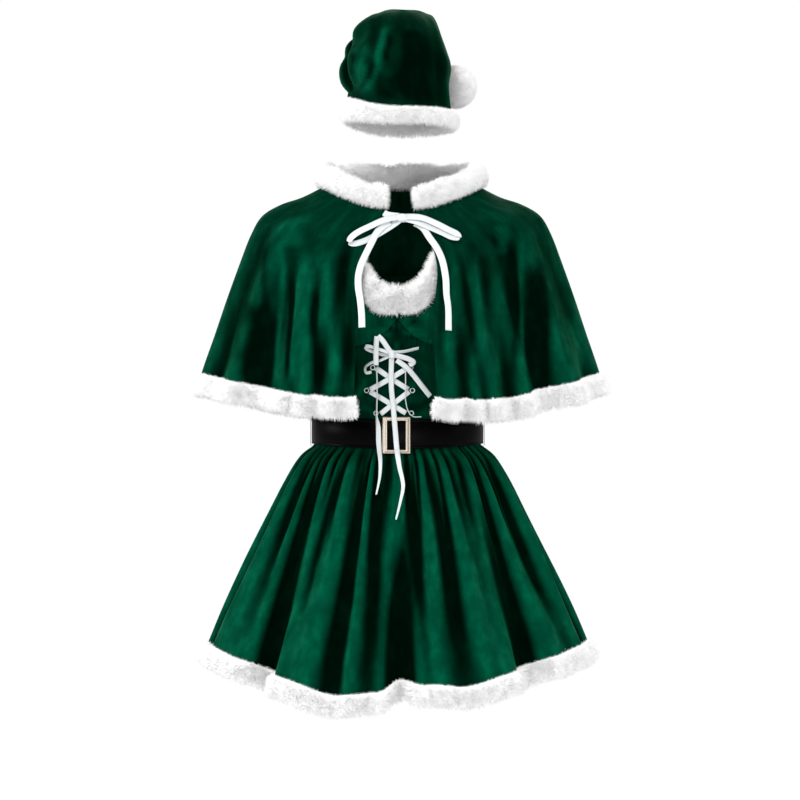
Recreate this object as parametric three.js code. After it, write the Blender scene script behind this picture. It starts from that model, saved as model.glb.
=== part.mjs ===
// Dress, cape and hat set: green velvet with white plush trim, hollow as if worn, in millimetres
// The origin is the middle of the cape's neck opening, +Z is up and the front faces -Y
// Left and right are the viewer's, looking at the front
import * as THREE from "three";

// Driving sizes
const VELVET_WALL = 2;
const SEAM_GAP = 0.3;
const DRESS_CENTRE = -3.5;
const CAPE_CENTRE = 2;
const GATHERS = 52;
const GATHER_COLUMNS = 4;
const FOLD_COLUMNS = 2;
const STRAP_WIDTH = 28;
const STRAP_WALL = 1.6;
const BELT_HEIGHT = 40;
const BELT_WALL = 2.2;
const BUCKLE_WIDTH = 38.6;
const BUCKLE_HEIGHT = 50.5;
const BUCKLE_DEPTH = 3.4;
const BUCKLE_SIDE_BAR = 7.2;
const BUCKLE_END_BAR = 5.8;
const BUCKLE_CENTRE = new THREE.Vector3(-4.9, -91.5, -342);
const TIE_WIDTH = 10;
const LACE_WIDTH = 7;
const STRAND_WIDTH = 2.6;
const RIBBON_WALL = 0.8;
const POMPOM_CENTRE = new THREE.Vector3(79.5, 72, 154);
const POMPOM_CORE = 26;
const POMPOM_RADIUS = 31;

// A table with named columns, one row for each section, fold or point
function table(names, rows) {
  const columns = names.split(" ");
  return rows.map((row) => Object.fromEntries(columns.map((name, i) => [name, row[i]])));
}

// The general figure inside the dress, as level sections
const TORSO = table("height halfWidth front back", [
  [-372, 115.2, 86, 86],
  [-350, 115.2, 85.5, 85.5],
  [-335, 116.4, 86.9, 86.4],
  [-318, 117.2, 87.8, 86.8],
  [-290, 120, 90.5, 87.5],
  [-250, 127, 97, 90.5],
  [-215, 134, 105, 94],
  [-180, 140, 111, 97],
  [-140, 141, 105, 96],
  [-100, 136, 93, 89],
  [-60, 118, 78, 74],
]);
const CUP = { angle: 24, spread: 17, height: -178, rise: 34, depth: 9 };

// The neckline plush, from the centre front outwards: its upper and lower edge
const NECK_TRIM = table("angle upper lower", [
  [0, -141, -174],
  [2, -139, -179],
  [7, -137, -178],
  [11, -131, -177],
  [15, -119, -170],
  [19, -104, -159],
  [23, -88, -143],
  [27, -74, -126],
  [30, -64, -114],
]);

// The bodice's upper edge outside the neckline plush
const BODICE_TOP = table("angle height", [
  [30, -114],
  [54, -114],
  [70, -123],
  [90, -130],
  [110, -123],
  [126, -114],
  [150, -114],
  [180, -116],
]);

// The seam under each cup, from the centre front to the side
const CUP_SEAM = table("angle height", [
  [0, -184],
  [5, -198],
  [10, -208],
  [18, -217],
  [35, -224],
  [60, -226],
  [90, -222],
]);

// Skirt sections from the waist seam to the hem; the last is the plush's lower edge
const SKIRT = table("row side front back halfWidth frontDepth backDepth gather fold lobe", [
  [0, -349, -354, -349, 115.2, 85.5, 85.5, 0.8, 0, 0],
  [1, -357, -363, -357, 116.2, 86.8, 86.6, 0.9, 0.2, 0],
  [2, -375, -383, -376, 135, 101, 99, 2.4, 2, 0.02],
  [3, -409, -421, -411, 154, 118, 115, 2, 5.6, 0.1],
  [4, -455, -472, -459, 175, 136, 133, 0.8, 8, 0.25],
  [5, -506, -529, -514, 198, 156, 152, 0, 8.8, 0.45],
  [6, -552, -584, -567, 219, 175, 171, 0, 8, 0.66],
  [7, -594, -633, -620, 239, 193, 188, 0, 6.4, 0.85],
  [8, -627, -676, -664, 254, 207, 202, 0, 5, 0.97],
  [9, -660, -709, -697, 268, 217, 212, 0, 4, 1],
]);
const SKIRT_FINE_ROWS = [0, 1, 2, 3];
const SKIRT_COARSE_ROWS = [4, 6];
const SKIRT_TRIM_ROW = 8;
const SKIRT_HEM_ROW = 9;

// Crests and valleys of the skirt's hem, all the way round
const HEM_LOBES = table("angle out lift", [
  [-180, 12, 0],
  [-158, -10, 7],
  [-132, 14, 0],
  [-108, -12, 7],
  [-82, 6, 0],
  [-62, 6, 2],
  [-46, -40, 8],
  [-36, 14, 0],
  [-18, 13, -8],
  [-6, 4, 3],
  [1, -34, 27],
  [8, 6, 12],
  [21, 13, 2],
  [35, 13, 7],
  [45, -38, 14],
  [60, 6, 6],
  [80, 8, 2],
  [104, -12, 7],
  [128, 14, 0],
  [155, -10, 7],
]);

// Cape sections from the neckline to the hem; the last is the plush's lower edge
const CAPE = table("row side front back halfWidth frontDepth backDepth leftEdge rightEdge", [
  [0, 4, -34, 8, 109, 72, 62, -21, 18],
  [1, -11, -62, -8, 139, 88, 88, -35, 30],
  [2, -21, -92, -34, 168, 104, 108, -48, 43],
  [3, -37, -124, -66, 194, 120, 121, -57, 49],
  [4, -63, -155, -100, 209, 132, 129, -60, 47],
  [5, -98, -187, -140, 222, 140, 134, -61, 45],
  [6, -150, -224, -190, 240, 147, 139, -61, 45],
  [7, -206, -262, -244, 258, 153, 145, -61, 47],
  [8, -252, -291, -298, 273, 158, 151, -61, 49],
  [9, -288, -325, -334, 282, 162, 155, -60, 44],
]);
const CAPE_TRIM_ROW = 8;
const CAPE_HEM_ROW = 9;
const CAPE_SIDE_SEAM = 0.51;
const CAPE_FRONT_COLUMNS = 28;
const CAPE_BACK_COLUMNS = 16;

// Ridges and troughs of the cape, in millimetres at its hem
const CAPE_FOLDS = table("angle out lift", [
  [-180, 10, 0],
  [-158, -9, 3],
  [-140, 10, 0],
  [-122, -10, 3],
  [-105, 7, 0],
  [-90, -3, 0],
  [-78, 7, 0],
  [-66, -6, 1],
  [-56, 9, 0],
  [-44, -12, 3],
  [-34, 4, 0],
  [-31.5, 0, 0],
  [-28, 6, -2],
  [-24, -3, 2],
  [-20, 4, 0],
  [-16, -2, 2],
  [-12, 0, 4],
  [10, 0, 4],
  [15, 5, -2],
  [18.5, -3, 0],
  [22, 6, -6],
  [24.5, -1, -6],
  [27, 7, -7],
  [33, -7, -7],
  [38, 3, -7],
  [44, -13, -1],
  [57, 12, -4],
  [70, -6, 0],
  [82, 6, 0],
  [92, -4, 2],
  [105, 7, 0],
  [122, -10, 3],
  [140, 10, 0],
  [158, -9, 3],
]);

// Hat sections from the tip of the tail over the crown and down to the plush's lower edge
const HAT = table("row frontY frontZ backY backZ left right leftRise rightRise relief", [
  [0, 98.8, 170, 89.8, 172, 60, 69, 0, 0, 0],
  [1, 118, 184, 96, 187, 46, 72, 0, 0, 0],
  [2, 128, 202, 97, 199, 26, 67, 0, 0, 0.2],
  [3, 132, 224, 98, 208, 2, 60, 0, 4, 0.4],
  [4, 118, 245, 97, 212, -26, 53, 0, 11, 0.5],
  [5, 84, 255, 94, 209, -42, 50, 0, 16, 0.6],
  [6, 45, 258, 91, 200, -52, 49, 0, 16, 0.7],
  [7, 10, 254, 89, 189, -63, 53, 0, 11, 0.8],
  [8, -22, 240, 87, 177, -73, 58, 0, 5, 0.9],
  [9, -44, 217, 87, 166, -74, 65, 0, 0, 1],
  [10, -62, 191, 87, 154, -81, 69, 2, 2, 1],
  [11, -75, 161, 88, 140, -79, 66, 5, 0, 1],
  [12, -84, 132, 89, 125, -71, 68, 12, 0, 0.6],
  [13, -89, 109, 90, 110, -73, 71, 21, 1, 0.2],
  [14, -92, 83, 93, 86, -76, 75, 9, 1, 0],
]);
const HAT_TRIM_ROW = 13;
const HAT_HEM_ROW = 14;
const HAT_COLUMNS = 28;

// Creases of the hat, in millimetres, all the way round
const HAT_FOLDS = table("angle out", [
  [-180, 3],
  [-150, -3],
  [-118, 4],
  [-98, 5],
  [-78, -8],
  [-58, 2],
  [-38, 3],
  [-26, -4],
  [-12, 3],
  [10, -2],
  [32, 2],
  [52, -4],
  [74, 2],
  [100, 3],
  [130, -3],
  [155, 3],
]);

// Plush section across a hem: how far along the strip, and how far out of the cloth
const HEM_PROFILE = table("along out", [
  [0, -1],
  [0.2, 6],
  [0.76, 6.5],
  [1, 0.5],
  [0.8, -5],
  [0.22, -5],
]);

// Collar section: out from and up from the neckline, leaning in at the top
const COLLAR_PROFILE = table("out up", [
  [9.5, 13],
  [5, 27],
  [-4, 34],
  [-11, 27],
  [-9, 9],
  [-3, 0.6],
]);

const radians = THREE.MathUtils.degToRad;
const mix = THREE.MathUtils.lerp;
const bell = (distance) => Math.exp(-distance * distance);

// The row between two rows of a table, smooth through every row
function rowAt(rows, place) {
  const key = Object.keys(rows[0])[0];
  const last = rows.length - 1;
  let i = 0;
  while (i < last - 1 && place > rows[i + 1][key]) i += 1;
  const [from, to] = [rows[i], rows[i + 1]];
  const [before, after] = [rows[Math.max(i - 1, 0)], rows[Math.min(i + 2, last)]];
  const span = to[key] - from[key];
  const t = (place - from[key]) / span;
  const found = {};
  for (const name of Object.keys(from)) {
    const slopeFrom = ((to[name] - before[name]) / (to[key] - before[key])) * span;
    const slopeTo = ((after[name] - from[name]) / (after[key] - from[key])) * span;
    found[name] =
      (1 + 2 * t) * (1 - t) ** 2 * from[name] +
      t * (1 - t) ** 2 * slopeFrom +
      t * t * (3 - 2 * t) * to[name] +
      t * t * (t - 1) * slopeTo;
  }
  return found;
}

// A fold table's value at an angle in degrees, easing from each row to the next
function waveAt(rows, angle, name) {
  const start = rows[0].angle;
  const turned = start + ((((angle - start) % 360) + 360) % 360);
  const i = rows.findLastIndex((row) => row.angle <= turned);
  const from = rows[i];
  const to = rows[(i + 1) % rows.length];
  const span = (to.angle - from.angle + 360) % 360;
  const ease = (1 - Math.cos((Math.PI * (turned - from.angle)) / span)) / 2;
  return mix(from[name], to[name], ease);
}

// A surface of the garment: u runs round it to the right from the front, v runs down it
function surfaceOf(base, relief, stepU, stepV) {
  function normal(u, v) {
    const along = base(u + stepU, v).sub(base(u - stepU, v));
    const down = base(u, v + stepV).sub(base(u, v - stepV));
    return down.cross(along).normalize();
  }
  function point(u, v, raise = 0) {
    const { out, lift } = relief(u, v);
    const place = base(u, v).addScaledVector(normal(u, v), out + raise);
    place.z += lift;
    return place;
  }
  return { normal, point };
}

// Triangles between two rows of point numbers; the second row may have half the steps
function strip(first, second, flip, triangles) {
  const halved = first.length > second.length;
  const add = (a, b, c) => triangles.push(flip ? [a, c, b] : [a, b, c]);
  for (let i = 0; i < second.length - 1; i += 1) {
    const [c, d] = [second[i], second[i + 1]];
    if (halved) {
      const [a, middle, b] = first.slice(2 * i, 2 * i + 3);
      add(a, c, middle);
      add(middle, c, d);
      add(middle, d, b);
    } else {
      add(first[i], c, first[i + 1]);
      add(first[i + 1], c, d);
    }
  }
}

// A closed geometry from points and triangles, with its faces pointing out
function closedGeometry(points, triangles) {
  const volume = triangles.reduce(
    (sum, [a, b, c]) => sum + points[a].dot(points[b].clone().cross(points[c])),
    0,
  );
  const faces = volume < 0 ? triangles.map(([a, b, c]) => [a, c, b]) : triangles;
  const geometry = new THREE.BufferGeometry().setFromPoints(points);
  geometry.setIndex(faces.flat());
  return geometry;
}

// Numbers the points of each row; a row that goes all the way round ends on its first point
function numberRows(rows, points, round) {
  return rows.map((row) => {
    const numbers = row.map((point) => points.push(point) - 1);
    return round ? [...numbers, numbers[0]] : numbers;
  });
}

// A cloth wall between its outer and inner rows of points
function wall(outerRows, innerRows, round) {
  const points = [];
  const triangles = [];
  const outer = numberRows(outerRows, points, round);
  const inner = numberRows(innerRows, points, round);
  const last = outer.length - 1;
  for (let i = 0; i < last; i += 1) {
    strip(outer[i], outer[i + 1], false, triangles);
    strip(inner[i], inner[i + 1], true, triangles);
  }
  strip(inner[0], outer[0], false, triangles);
  strip(outer[last], inner[last], false, triangles);
  if (!round) {
    const edge = (rows, at) => rows.map((row) => row.at(at));
    strip(edge(outer, 0), edge(inner, 0), false, triangles);
    strip(edge(inner, -1), edge(outer, -1), false, triangles);
  }
  return closedGeometry(points, triangles);
}

// A solid through closed sections, capped at both ends or joined into a ring
function loft(sections, round) {
  const points = [];
  const triangles = [];
  const rings = numberRows(sections, points, true);
  for (let i = 0; i < rings.length - 1; i += 1) strip(rings[i], rings[i + 1], false, triangles);
  if (round) {
    strip(rings.at(-1), rings[0], false, triangles);
    return closedGeometry(points, triangles);
  }
  for (const [ring, flip] of [[rings[0], false], [rings.at(-1), true]]) {
    const middle = new THREE.Vector3();
    for (const number of ring.slice(1)) middle.addScaledVector(points[number], 1 / (ring.length - 1));
    const hub = points.push(middle) - 1;
    for (let i = 0; i < ring.length - 1; i += 1) {
      const [a, b] = [ring[i], ring[i + 1]];
      triangles.push(flip ? [hub, b, a] : [hub, a, b]);
    }
  }
  return closedGeometry(points, triangles);
}

// Evenly spaced values from one number to another, both included
function spread(from, to, steps) {
  return Array.from({ length: steps + 1 }, (_, i) => mix(from, to, i / steps));
}

// A panel of a surface, as thick as the velvet, over columns of u and rows of v
function panel(surface, columnsAt, rows, round = false) {
  const layer = (raise) => rows.map((v) => columnsAt(v).map((u) => surface.point(u, v, raise)));
  return wall(layer(0), layer(-VELVET_WALL), round);
}

// A plush strip along a surface between two of its rows
function plushStrip(surface, columns, fromV, toV, round = false) {
  const sections = columns.map((u) =>
    HEM_PROFILE.map(({ along, out }) => surface.point(u, mix(fromV(u), toV(u), along), out)),
  );
  return loft(sections, round);
}

const set = new THREE.Group();

// One finish for each kind of stuff; every mesh gets its own copy
const FINISHES = {
  velvet: { color: 0x0b4a31, roughness: 0.75, metalness: 0 },
  plush: { color: 0xf4f4f2, roughness: 0.95, metalness: 0 },
  ribbon: { color: 0xf2f3f3, roughness: 0.4, metalness: 0 },
  leather: { color: 0x0c0c0e, roughness: 0.35, metalness: 0 },
  buckle: { color: 0xd8c8a4, roughness: 0.25, metalness: 1 },
};

function addMesh(name, finish, geometry, group) {
  const mesh = new THREE.Mesh(geometry, new THREE.MeshStandardMaterial(FINISHES[finish]));
  mesh.name = name;
  group.add(mesh);
  return mesh;
}

// Dress
const dress = new THREE.Group();
set.add(dress);

function torsoBase(angle, drop) {
  const { halfWidth, front, back } = rowAt(TORSO, -drop);
  const turn = radians(angle);
  const depth = Math.cos(turn) > 0 ? front : back;
  return new THREE.Vector3(DRESS_CENTRE + halfWidth * Math.sin(turn), -depth * Math.cos(turn), -drop);
}

// Each cup stands out in front of the general figure
function cupRelief(angle, drop) {
  const across = bell((Math.abs(angle) - CUP.angle) / CUP.spread);
  const down = bell((-drop - CUP.height) / CUP.rise);
  return { out: CUP.depth * across * down, lift: 0 };
}

const torso = surfaceOf(torsoBase, cupRelief, 0.5, 0.5);

// Bodice panels run from an upper to a lower edge, both heights given by the angle
function bodicePanel(columns, upper, lower, steps) {
  const rows = spread(0, 1, steps);
  const layer = (raise) =>
    rows.map((t) => columns.map((angle) => torso.point(angle, -mix(upper(angle), lower(angle), t), raise)));
  return wall(layer(0), layer(-VELVET_WALL), false);
}

const heightAt = (rows, angle, name = "height") => rowAt(rows, Math.abs(angle))[name];

function bodiceTop(angle) {
  const inTrim = Math.abs(angle) < BODICE_TOP[0].angle;
  const edge = inTrim ? heightAt(NECK_TRIM, angle, "lower") : heightAt(BODICE_TOP, angle);
  return edge - SEAM_GAP;
}

// The height of a garment ring at an angle, between its side and its front or back
function ringHeight(row, angle) {
  const turn = radians(angle);
  const end = Math.cos(turn) > 0 ? row.front : row.back;
  return row.side + (end - row.side) * Math.cos(turn) ** 2;
}

const waistHeight = (angle) => ringHeight(SKIRT[0], angle) + SEAM_GAP;
const cupSeam = (angle) => heightAt(CUP_SEAM, angle);
const SEAM_ANGLE = 0.08;
const NECK_COLUMNS = [SEAM_ANGLE, 1.5, 4, 7, 10, 13, 16, 19, 22, 25, 28, 30];
const CUP_COLUMNS = [...NECK_COLUMNS, 39, 54, 65, 78, 90 - SEAM_ANGLE];
for (const [side, name] of [[-1, "left"], [1, "right"]]) {
  const columns = CUP_COLUMNS.map((angle) => side * angle);
  const lower = (angle) => cupSeam(angle) + SEAM_GAP / 2;
  addMesh("bodice_cup_" + name, "velvet", bodicePanel(columns, bodiceTop, lower, 4), dress);
}

const frontColumns = [...CUP_COLUMNS.slice(1).map((angle) => -angle).reverse(), 0, ...CUP_COLUMNS.slice(1)];
const underCup = (angle) => cupSeam(angle) - SEAM_GAP / 2;
addMesh("bodice_front", "velvet", bodicePanel(frontColumns, underCup, waistHeight, 5), dress);

const backColumns = spread(90 + SEAM_ANGLE, 270 - SEAM_ANGLE, 18);
const backTop = (angle) => bodiceTop(angle > 180 ? 360 - angle : angle);
addMesh("bodice_back", "velvet", bodicePanel(backColumns, backTop, waistHeight, 5), dress);

// Neckline plush, in two halves that meet at the centre front
for (const [side, name] of [[-1, "left"], [1, "right"]]) {
  const columns = NECK_COLUMNS.map((angle) => side * angle);
  const geometry = plushStrip(
    torso,
    columns,
    (angle) => -heightAt(NECK_TRIM, angle, "upper"),
    (angle) => -heightAt(NECK_TRIM, angle, "lower"),
  );
  addMesh("neck_trim_" + name, "plush", geometry, dress);
}

// Skirt: u counts gathers round from the centre front, v is the table's row
const gatherAngle = (gather) => {
  const turn = (2 * Math.PI * gather) / GATHERS;
  const uneven = 0.22 * Math.sin(11 * turn) + 0.14 * Math.sin(17 * turn + 1);
  return (360 * (gather + uneven)) / GATHERS;
};

function skirtBase(gather, v) {
  const row = rowAt(SKIRT, v);
  const angle = gatherAngle(gather);
  const turn = radians(angle);
  const depth = Math.cos(turn) > 0 ? row.frontDepth : row.backDepth;
  const x = DRESS_CENTRE + row.halfWidth * Math.sin(turn);
  return new THREE.Vector3(x, -depth * Math.cos(turn), ringHeight(row, angle));
}

// Gathers at the waist merge two by two into folds, and the folds into the hem's lobes
function skirtRelief(gather, v) {
  const row = rowAt(SKIRT, v);
  const angle = gatherAngle(gather);
  const turn = (2 * Math.PI * gather) / GATHERS;
  const gathered = row.gather * (0.75 + 0.25 * Math.sin(7 * turn + 0.6)) * Math.cos(2 * Math.PI * gather);
  const uneven = 0.66 + 0.22 * Math.sin(5 * turn + 2) + 0.16 * Math.sin(11 * turn + 1);
  const folded = row.fold * uneven * Math.cos(Math.PI * gather);
  const out = gathered + folded + row.lobe * waveAt(HEM_LOBES, angle, "out");
  return { out, lift: row.lobe * waveAt(HEM_LOBES, angle, "lift") };
}

const skirt = surfaceOf(skirtBase, skirtRelief, 0.05, 0.02);

const QUARTER = GATHERS / 4;
const SEAM_STEP = 0.012;
const SKIRT_HALVES = [
  ["front", -QUARTER + SEAM_STEP, QUARTER - SEAM_STEP],
  ["back", QUARTER + SEAM_STEP, 3 * QUARTER - SEAM_STEP],
];
const SKIRT_END = SKIRT_TRIM_ROW - 0.012;
for (const [name, from, to] of SKIRT_HALVES) {
  const fine = spread(from, to, (GATHERS / 2) * GATHER_COLUMNS);
  const coarse = spread(from, to, (GATHERS / 2) * FOLD_COLUMNS);
  const columnsAt = (v) => (SKIRT_FINE_ROWS.includes(v) ? fine : coarse);
  const rows = [...SKIRT_FINE_ROWS, ...SKIRT_COARSE_ROWS, SKIRT_END];
  addMesh("skirt_" + name, "velvet", panel(skirt, columnsAt, rows), dress);
  const trim = plushStrip(skirt, coarse, () => SKIRT_TRIM_ROW, () => SKIRT_HEM_ROW);
  addMesh("skirt_trim_" + name, "plush", trim, dress);
}

// Belt, round the lower bodice and the top of the gathers
const BELT_COLUMNS = 52;
const BELT_INSIDE = { halfWidth: 117.9, front: 88.5, back: 87.7 };
const BELT_LOWER = { side: -355, front: -360.5, back: -355 };

function beltPoint(angle, up, out) {
  const turn = radians(angle);
  const depth = Math.cos(turn) > 0 ? BELT_INSIDE.front : BELT_INSIDE.back;
  const x = DRESS_CENTRE + (BELT_INSIDE.halfWidth + out) * Math.sin(turn);
  return new THREE.Vector3(x, -(depth + out) * Math.cos(turn), ringHeight(BELT_LOWER, angle) + up);
}

const beltSections = spread(0, 360, BELT_COLUMNS).slice(1).map((angle) => [
  beltPoint(angle, 0, 0),
  beltPoint(angle, 0, BELT_WALL),
  beltPoint(angle, BELT_HEIGHT, BELT_WALL),
  beltPoint(angle, BELT_HEIGHT, 0),
]);
addMesh("belt", "leather", loft(beltSections, true), dress);

// Rectangle for the buckle's frame and its window
function rectangle(shape, width, height) {
  shape.moveTo(-width / 2, -height / 2);
  shape.lineTo(width / 2, -height / 2);
  shape.lineTo(width / 2, height / 2);
  shape.lineTo(-width / 2, height / 2);
  shape.closePath();
  return shape;
}

const BUCKLE_BEVEL = 0.8;
const frame = rectangle(
  new THREE.Shape(),
  BUCKLE_WIDTH - 2 * BUCKLE_BEVEL,
  BUCKLE_HEIGHT - 2 * BUCKLE_BEVEL,
);
frame.holes.push(
  rectangle(
    new THREE.Path(),
    BUCKLE_WIDTH - 2 * BUCKLE_SIDE_BAR + 2 * BUCKLE_BEVEL,
    BUCKLE_HEIGHT - 2 * BUCKLE_END_BAR + 2 * BUCKLE_BEVEL,
  ),
);
const buckleGeometry = new THREE.ExtrudeGeometry(frame, {
  depth: BUCKLE_DEPTH - 2 * BUCKLE_BEVEL,
  bevelEnabled: true,
  bevelThickness: BUCKLE_BEVEL,
  bevelSize: BUCKLE_BEVEL,
  bevelSegments: 1,
});
buckleGeometry.translate(0, 0, BUCKLE_BEVEL);
const buckle = addMesh("buckle", "buckle", buckleGeometry, dress);
buckle.rotation.x = Math.PI / 2;
buckle.position.copy(BUCKLE_CENTRE);

// Narrow loops that hold the belt at the side seams
const BELT_LOOP = table("up out", [
  [43.4, 0.2],
  [42.6, 2.6],
  [38, 3.2],
  [20, 3.2],
  [2, 3.2],
  [-2.6, 2.6],
  [-3.6, 0.6],
]);
const BELT_LOOP_WALL = 1;
const BELT_LOOP_HALF_ANGLE = 1.6;
for (const [name, angle] of [["left", -87], ["right", 87]]) {
  const sections = BELT_LOOP.map(({ up, out }) => [
    beltPoint(angle - BELT_LOOP_HALF_ANGLE, up, out),
    beltPoint(angle - BELT_LOOP_HALF_ANGLE, up, out + BELT_LOOP_WALL),
    beltPoint(angle + BELT_LOOP_HALF_ANGLE, up, out + BELT_LOOP_WALL),
    beltPoint(angle + BELT_LOOP_HALF_ANGLE, up, out),
  ]);
  addMesh("belt_loop_" + name, "ribbon", loft(sections, false), dress);
}

// Cape
const cape = new THREE.Group();
set.add(cape);

// Round the cape u runs from 1 at the right front edge over 0 at the back to -1 at the left
function capeAngle(u, row) {
  const edgeX = u < 0 ? -row.leftEdge : row.rightEdge;
  const edge = Math.asin(edgeX / row.halfWidth);
  return Math.sign(u || 1) * (180 - Math.abs(u) * (180 - THREE.MathUtils.radToDeg(edge)));
}

function capeBase(u, v) {
  const row = rowAt(CAPE, v);
  const angle = capeAngle(u, row);
  const turn = radians(angle);
  const depth = Math.cos(turn) > 0 ? row.frontDepth : row.backDepth;
  const centre = CAPE_CENTRE * (1 - v / CAPE_HEM_ROW);
  const x = centre + row.halfWidth * Math.sin(turn);
  return new THREE.Vector3(x, -depth * Math.cos(turn), ringHeight(row, angle));
}

function capeRelief(u, v) {
  const angle = capeAngle(u, rowAt(CAPE, v));
  const grown = Math.max(v / CAPE_HEM_ROW, 0) ** 1.4;
  return { out: grown * waveAt(CAPE_FOLDS, angle, "out"), lift: grown * waveAt(CAPE_FOLDS, angle, "lift") };
}

const capeCloth = surfaceOf(capeBase, capeRelief, -0.003, 0.02);

const CAPE_SEAM_STEP = 0.0004;
const CAPE_PANELS = [
  ["right", 1, CAPE_SIDE_SEAM + CAPE_SEAM_STEP, CAPE_FRONT_COLUMNS],
  ["back", CAPE_SIDE_SEAM - CAPE_SEAM_STEP, -CAPE_SIDE_SEAM + CAPE_SEAM_STEP, CAPE_BACK_COLUMNS],
  ["left", -CAPE_SIDE_SEAM - CAPE_SEAM_STEP, -1, CAPE_FRONT_COLUMNS],
];
const CAPE_END = CAPE_TRIM_ROW - 0.012;
for (const [name, from, to, steps] of CAPE_PANELS) {
  const columns = spread(from, to, steps);
  const rows = [0, 1, 2, 3, 4, 5, 6, 7, CAPE_END];
  const panelName = name === "back" ? "cape_back" : "cape_front_" + name;
  addMesh(panelName, "velvet", panel(capeCloth, () => columns, rows), cape);
  const trim = plushStrip(capeCloth, columns, () => CAPE_TRIM_ROW, () => CAPE_HEM_ROW);
  addMesh("cape_trim_" + name, "plush", trim, cape);
}

// Collar: a thick band that stands on the neckline and leans in
const COLLAR_COLUMNS = 36;
const COLLAR_FOOT = { down: 0.2, lap: 0.7, bulgeDown: 0.26, bulge: 5 };
const collarSections = spread(1, -1, COLLAR_COLUMNS).map((u) => {
  const neckline = capeCloth.point(u, 0);
  const outwards = capeCloth.normal(u, 0).setZ(0).normalize();
  const upright = COLLAR_PROFILE.map(({ out, up }) =>
    neckline.clone().addScaledVector(outwards, out).add(new THREE.Vector3(0, 0, up)),
  );
  return [
    capeCloth.point(u, 0, COLLAR_FOOT.lap).add(new THREE.Vector3(0, 0, COLLAR_FOOT.lap)),
    capeCloth.point(u, COLLAR_FOOT.down, COLLAR_FOOT.lap),
    capeCloth.point(u, COLLAR_FOOT.bulgeDown, COLLAR_FOOT.bulge),
    ...upright,
  ];
});
addMesh("collar", "plush", loft(collarSections, false), cape);

// A flat band through points: each row has its place, the direction across it and its normal
function band(rows, width, thickness, steps) {
  const curve = (name) => new THREE.CatmullRomCurve3(rows.map((row) => row[name]), false, "centripetal");
  const [places, acrosses] = [curve("place"), curve("across")];
  const sections = spread(0, 1, steps).map((t) => {
    const place = places.getPoint(t);
    const tangent = places.getTangent(t);
    const across = acrosses.getPoint(t);
    across.addScaledVector(tangent, -across.dot(tangent)).normalize();
    const out = across.clone().cross(tangent).normalize();
    const corner = (a, b) =>
      place.clone().addScaledVector(across, (a * width) / 2).addScaledVector(out, (b * thickness) / 2);
    return [corner(-1, -1), corner(1, -1), corner(1, 1), corner(-1, 1)];
  });
  return loft(sections, false);
}

// Shoulder straps of the dress, under the cape
const STRAP_UNDER_CAPE = -(VELVET_WALL + SEAM_GAP + STRAP_WALL / 2 + 0.4);
const STRAP_ROW = 0.5;
const STRAP_ENDS = { front: 42, back: 138, gap: 0.3, upright: 14 };
for (const [side, name] of [[-1, "left"], [1, "right"]]) {
  const shoulder = (u, sunk) => ({
    place: capeCloth.point(side * u, STRAP_ROW, STRAP_UNDER_CAPE - sunk),
    across: capeCloth
      .point(side * u, STRAP_ROW + 0.1)
      .sub(capeCloth.point(side * u, STRAP_ROW - 0.1))
      .normalize(),
  });
  const end = (angle, up) => {
    const turn = radians(side * angle);
    const height = bodiceTop(angle) + SEAM_GAP + STRAP_ENDS.gap + up;
    return {
      place: torso.point(side * angle, -height, -VELVET_WALL / 2),
      across: new THREE.Vector3(Math.cos(turn), Math.sin(turn), 0).multiplyScalar(side * Math.sign(Math.cos(turn))),
    };
  };
  const frontEnd = end(STRAP_ENDS.front, 0);
  const backEnd = end(STRAP_ENDS.back, 0);
  const rising = (foot, top, outwards) => ({
    place: foot.place.clone().lerp(top.place, 0.5).add(new THREE.Vector3(0, outwards, 0)),
    across: foot.across.clone().lerp(top.across, 0.3).normalize(),
  });
  const rows = [
    frontEnd,
    end(STRAP_ENDS.front, STRAP_ENDS.upright),
    rising(frontEnd, shoulder(0.69, 8), -6),
    shoulder(0.67, 7),
    shoulder(0.6, 1.5),
    shoulder(0.535, 0),
    shoulder(0.47, 2.5),
    shoulder(0.4, 9),
    rising(backEnd, shoulder(0.38, 10), 6),
    end(STRAP_ENDS.back, STRAP_ENDS.upright),
    backEnd,
  ];
  addMesh("strap_" + name, "velvet", band(rows, STRAP_WIDTH, STRAP_WALL, 20), dress);
}

// Front of the dress at a point, over the bodice, the belt or the skirt
function dressFront(x, z) {
  const across = (halfWidth, depth) =>
    depth * Math.sqrt(Math.max(1 - ((x - DRESS_CENTRE) / halfWidth) ** 2, 0));
  if (z < -364) {
    const row = SKIRT.find((_, i) => z >= SKIRT[i + 1].front);
    const next = SKIRT[SKIRT.indexOf(row) + 1];
    const share = (z - row.front) / (next.front - row.front);
    const ridge = mix(row.gather + row.fold, next.gather + next.fold, share);
    const depth = mix(row.frontDepth, next.frontDepth, share) + ridge;
    return -across(mix(row.halfWidth, next.halfWidth, share), depth);
  }
  if (z < -318) return -across(BELT_INSIDE.halfWidth + BELT_WALL, BELT_INSIDE.front + BELT_WALL);
  const { halfWidth, front } = rowAt(TORSO, z);
  const angle = THREE.MathUtils.radToDeg(Math.asin((x - DRESS_CENTRE) / halfWidth));
  return -across(halfWidth, front) - cupRelief(angle, -z).out;
}

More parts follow.
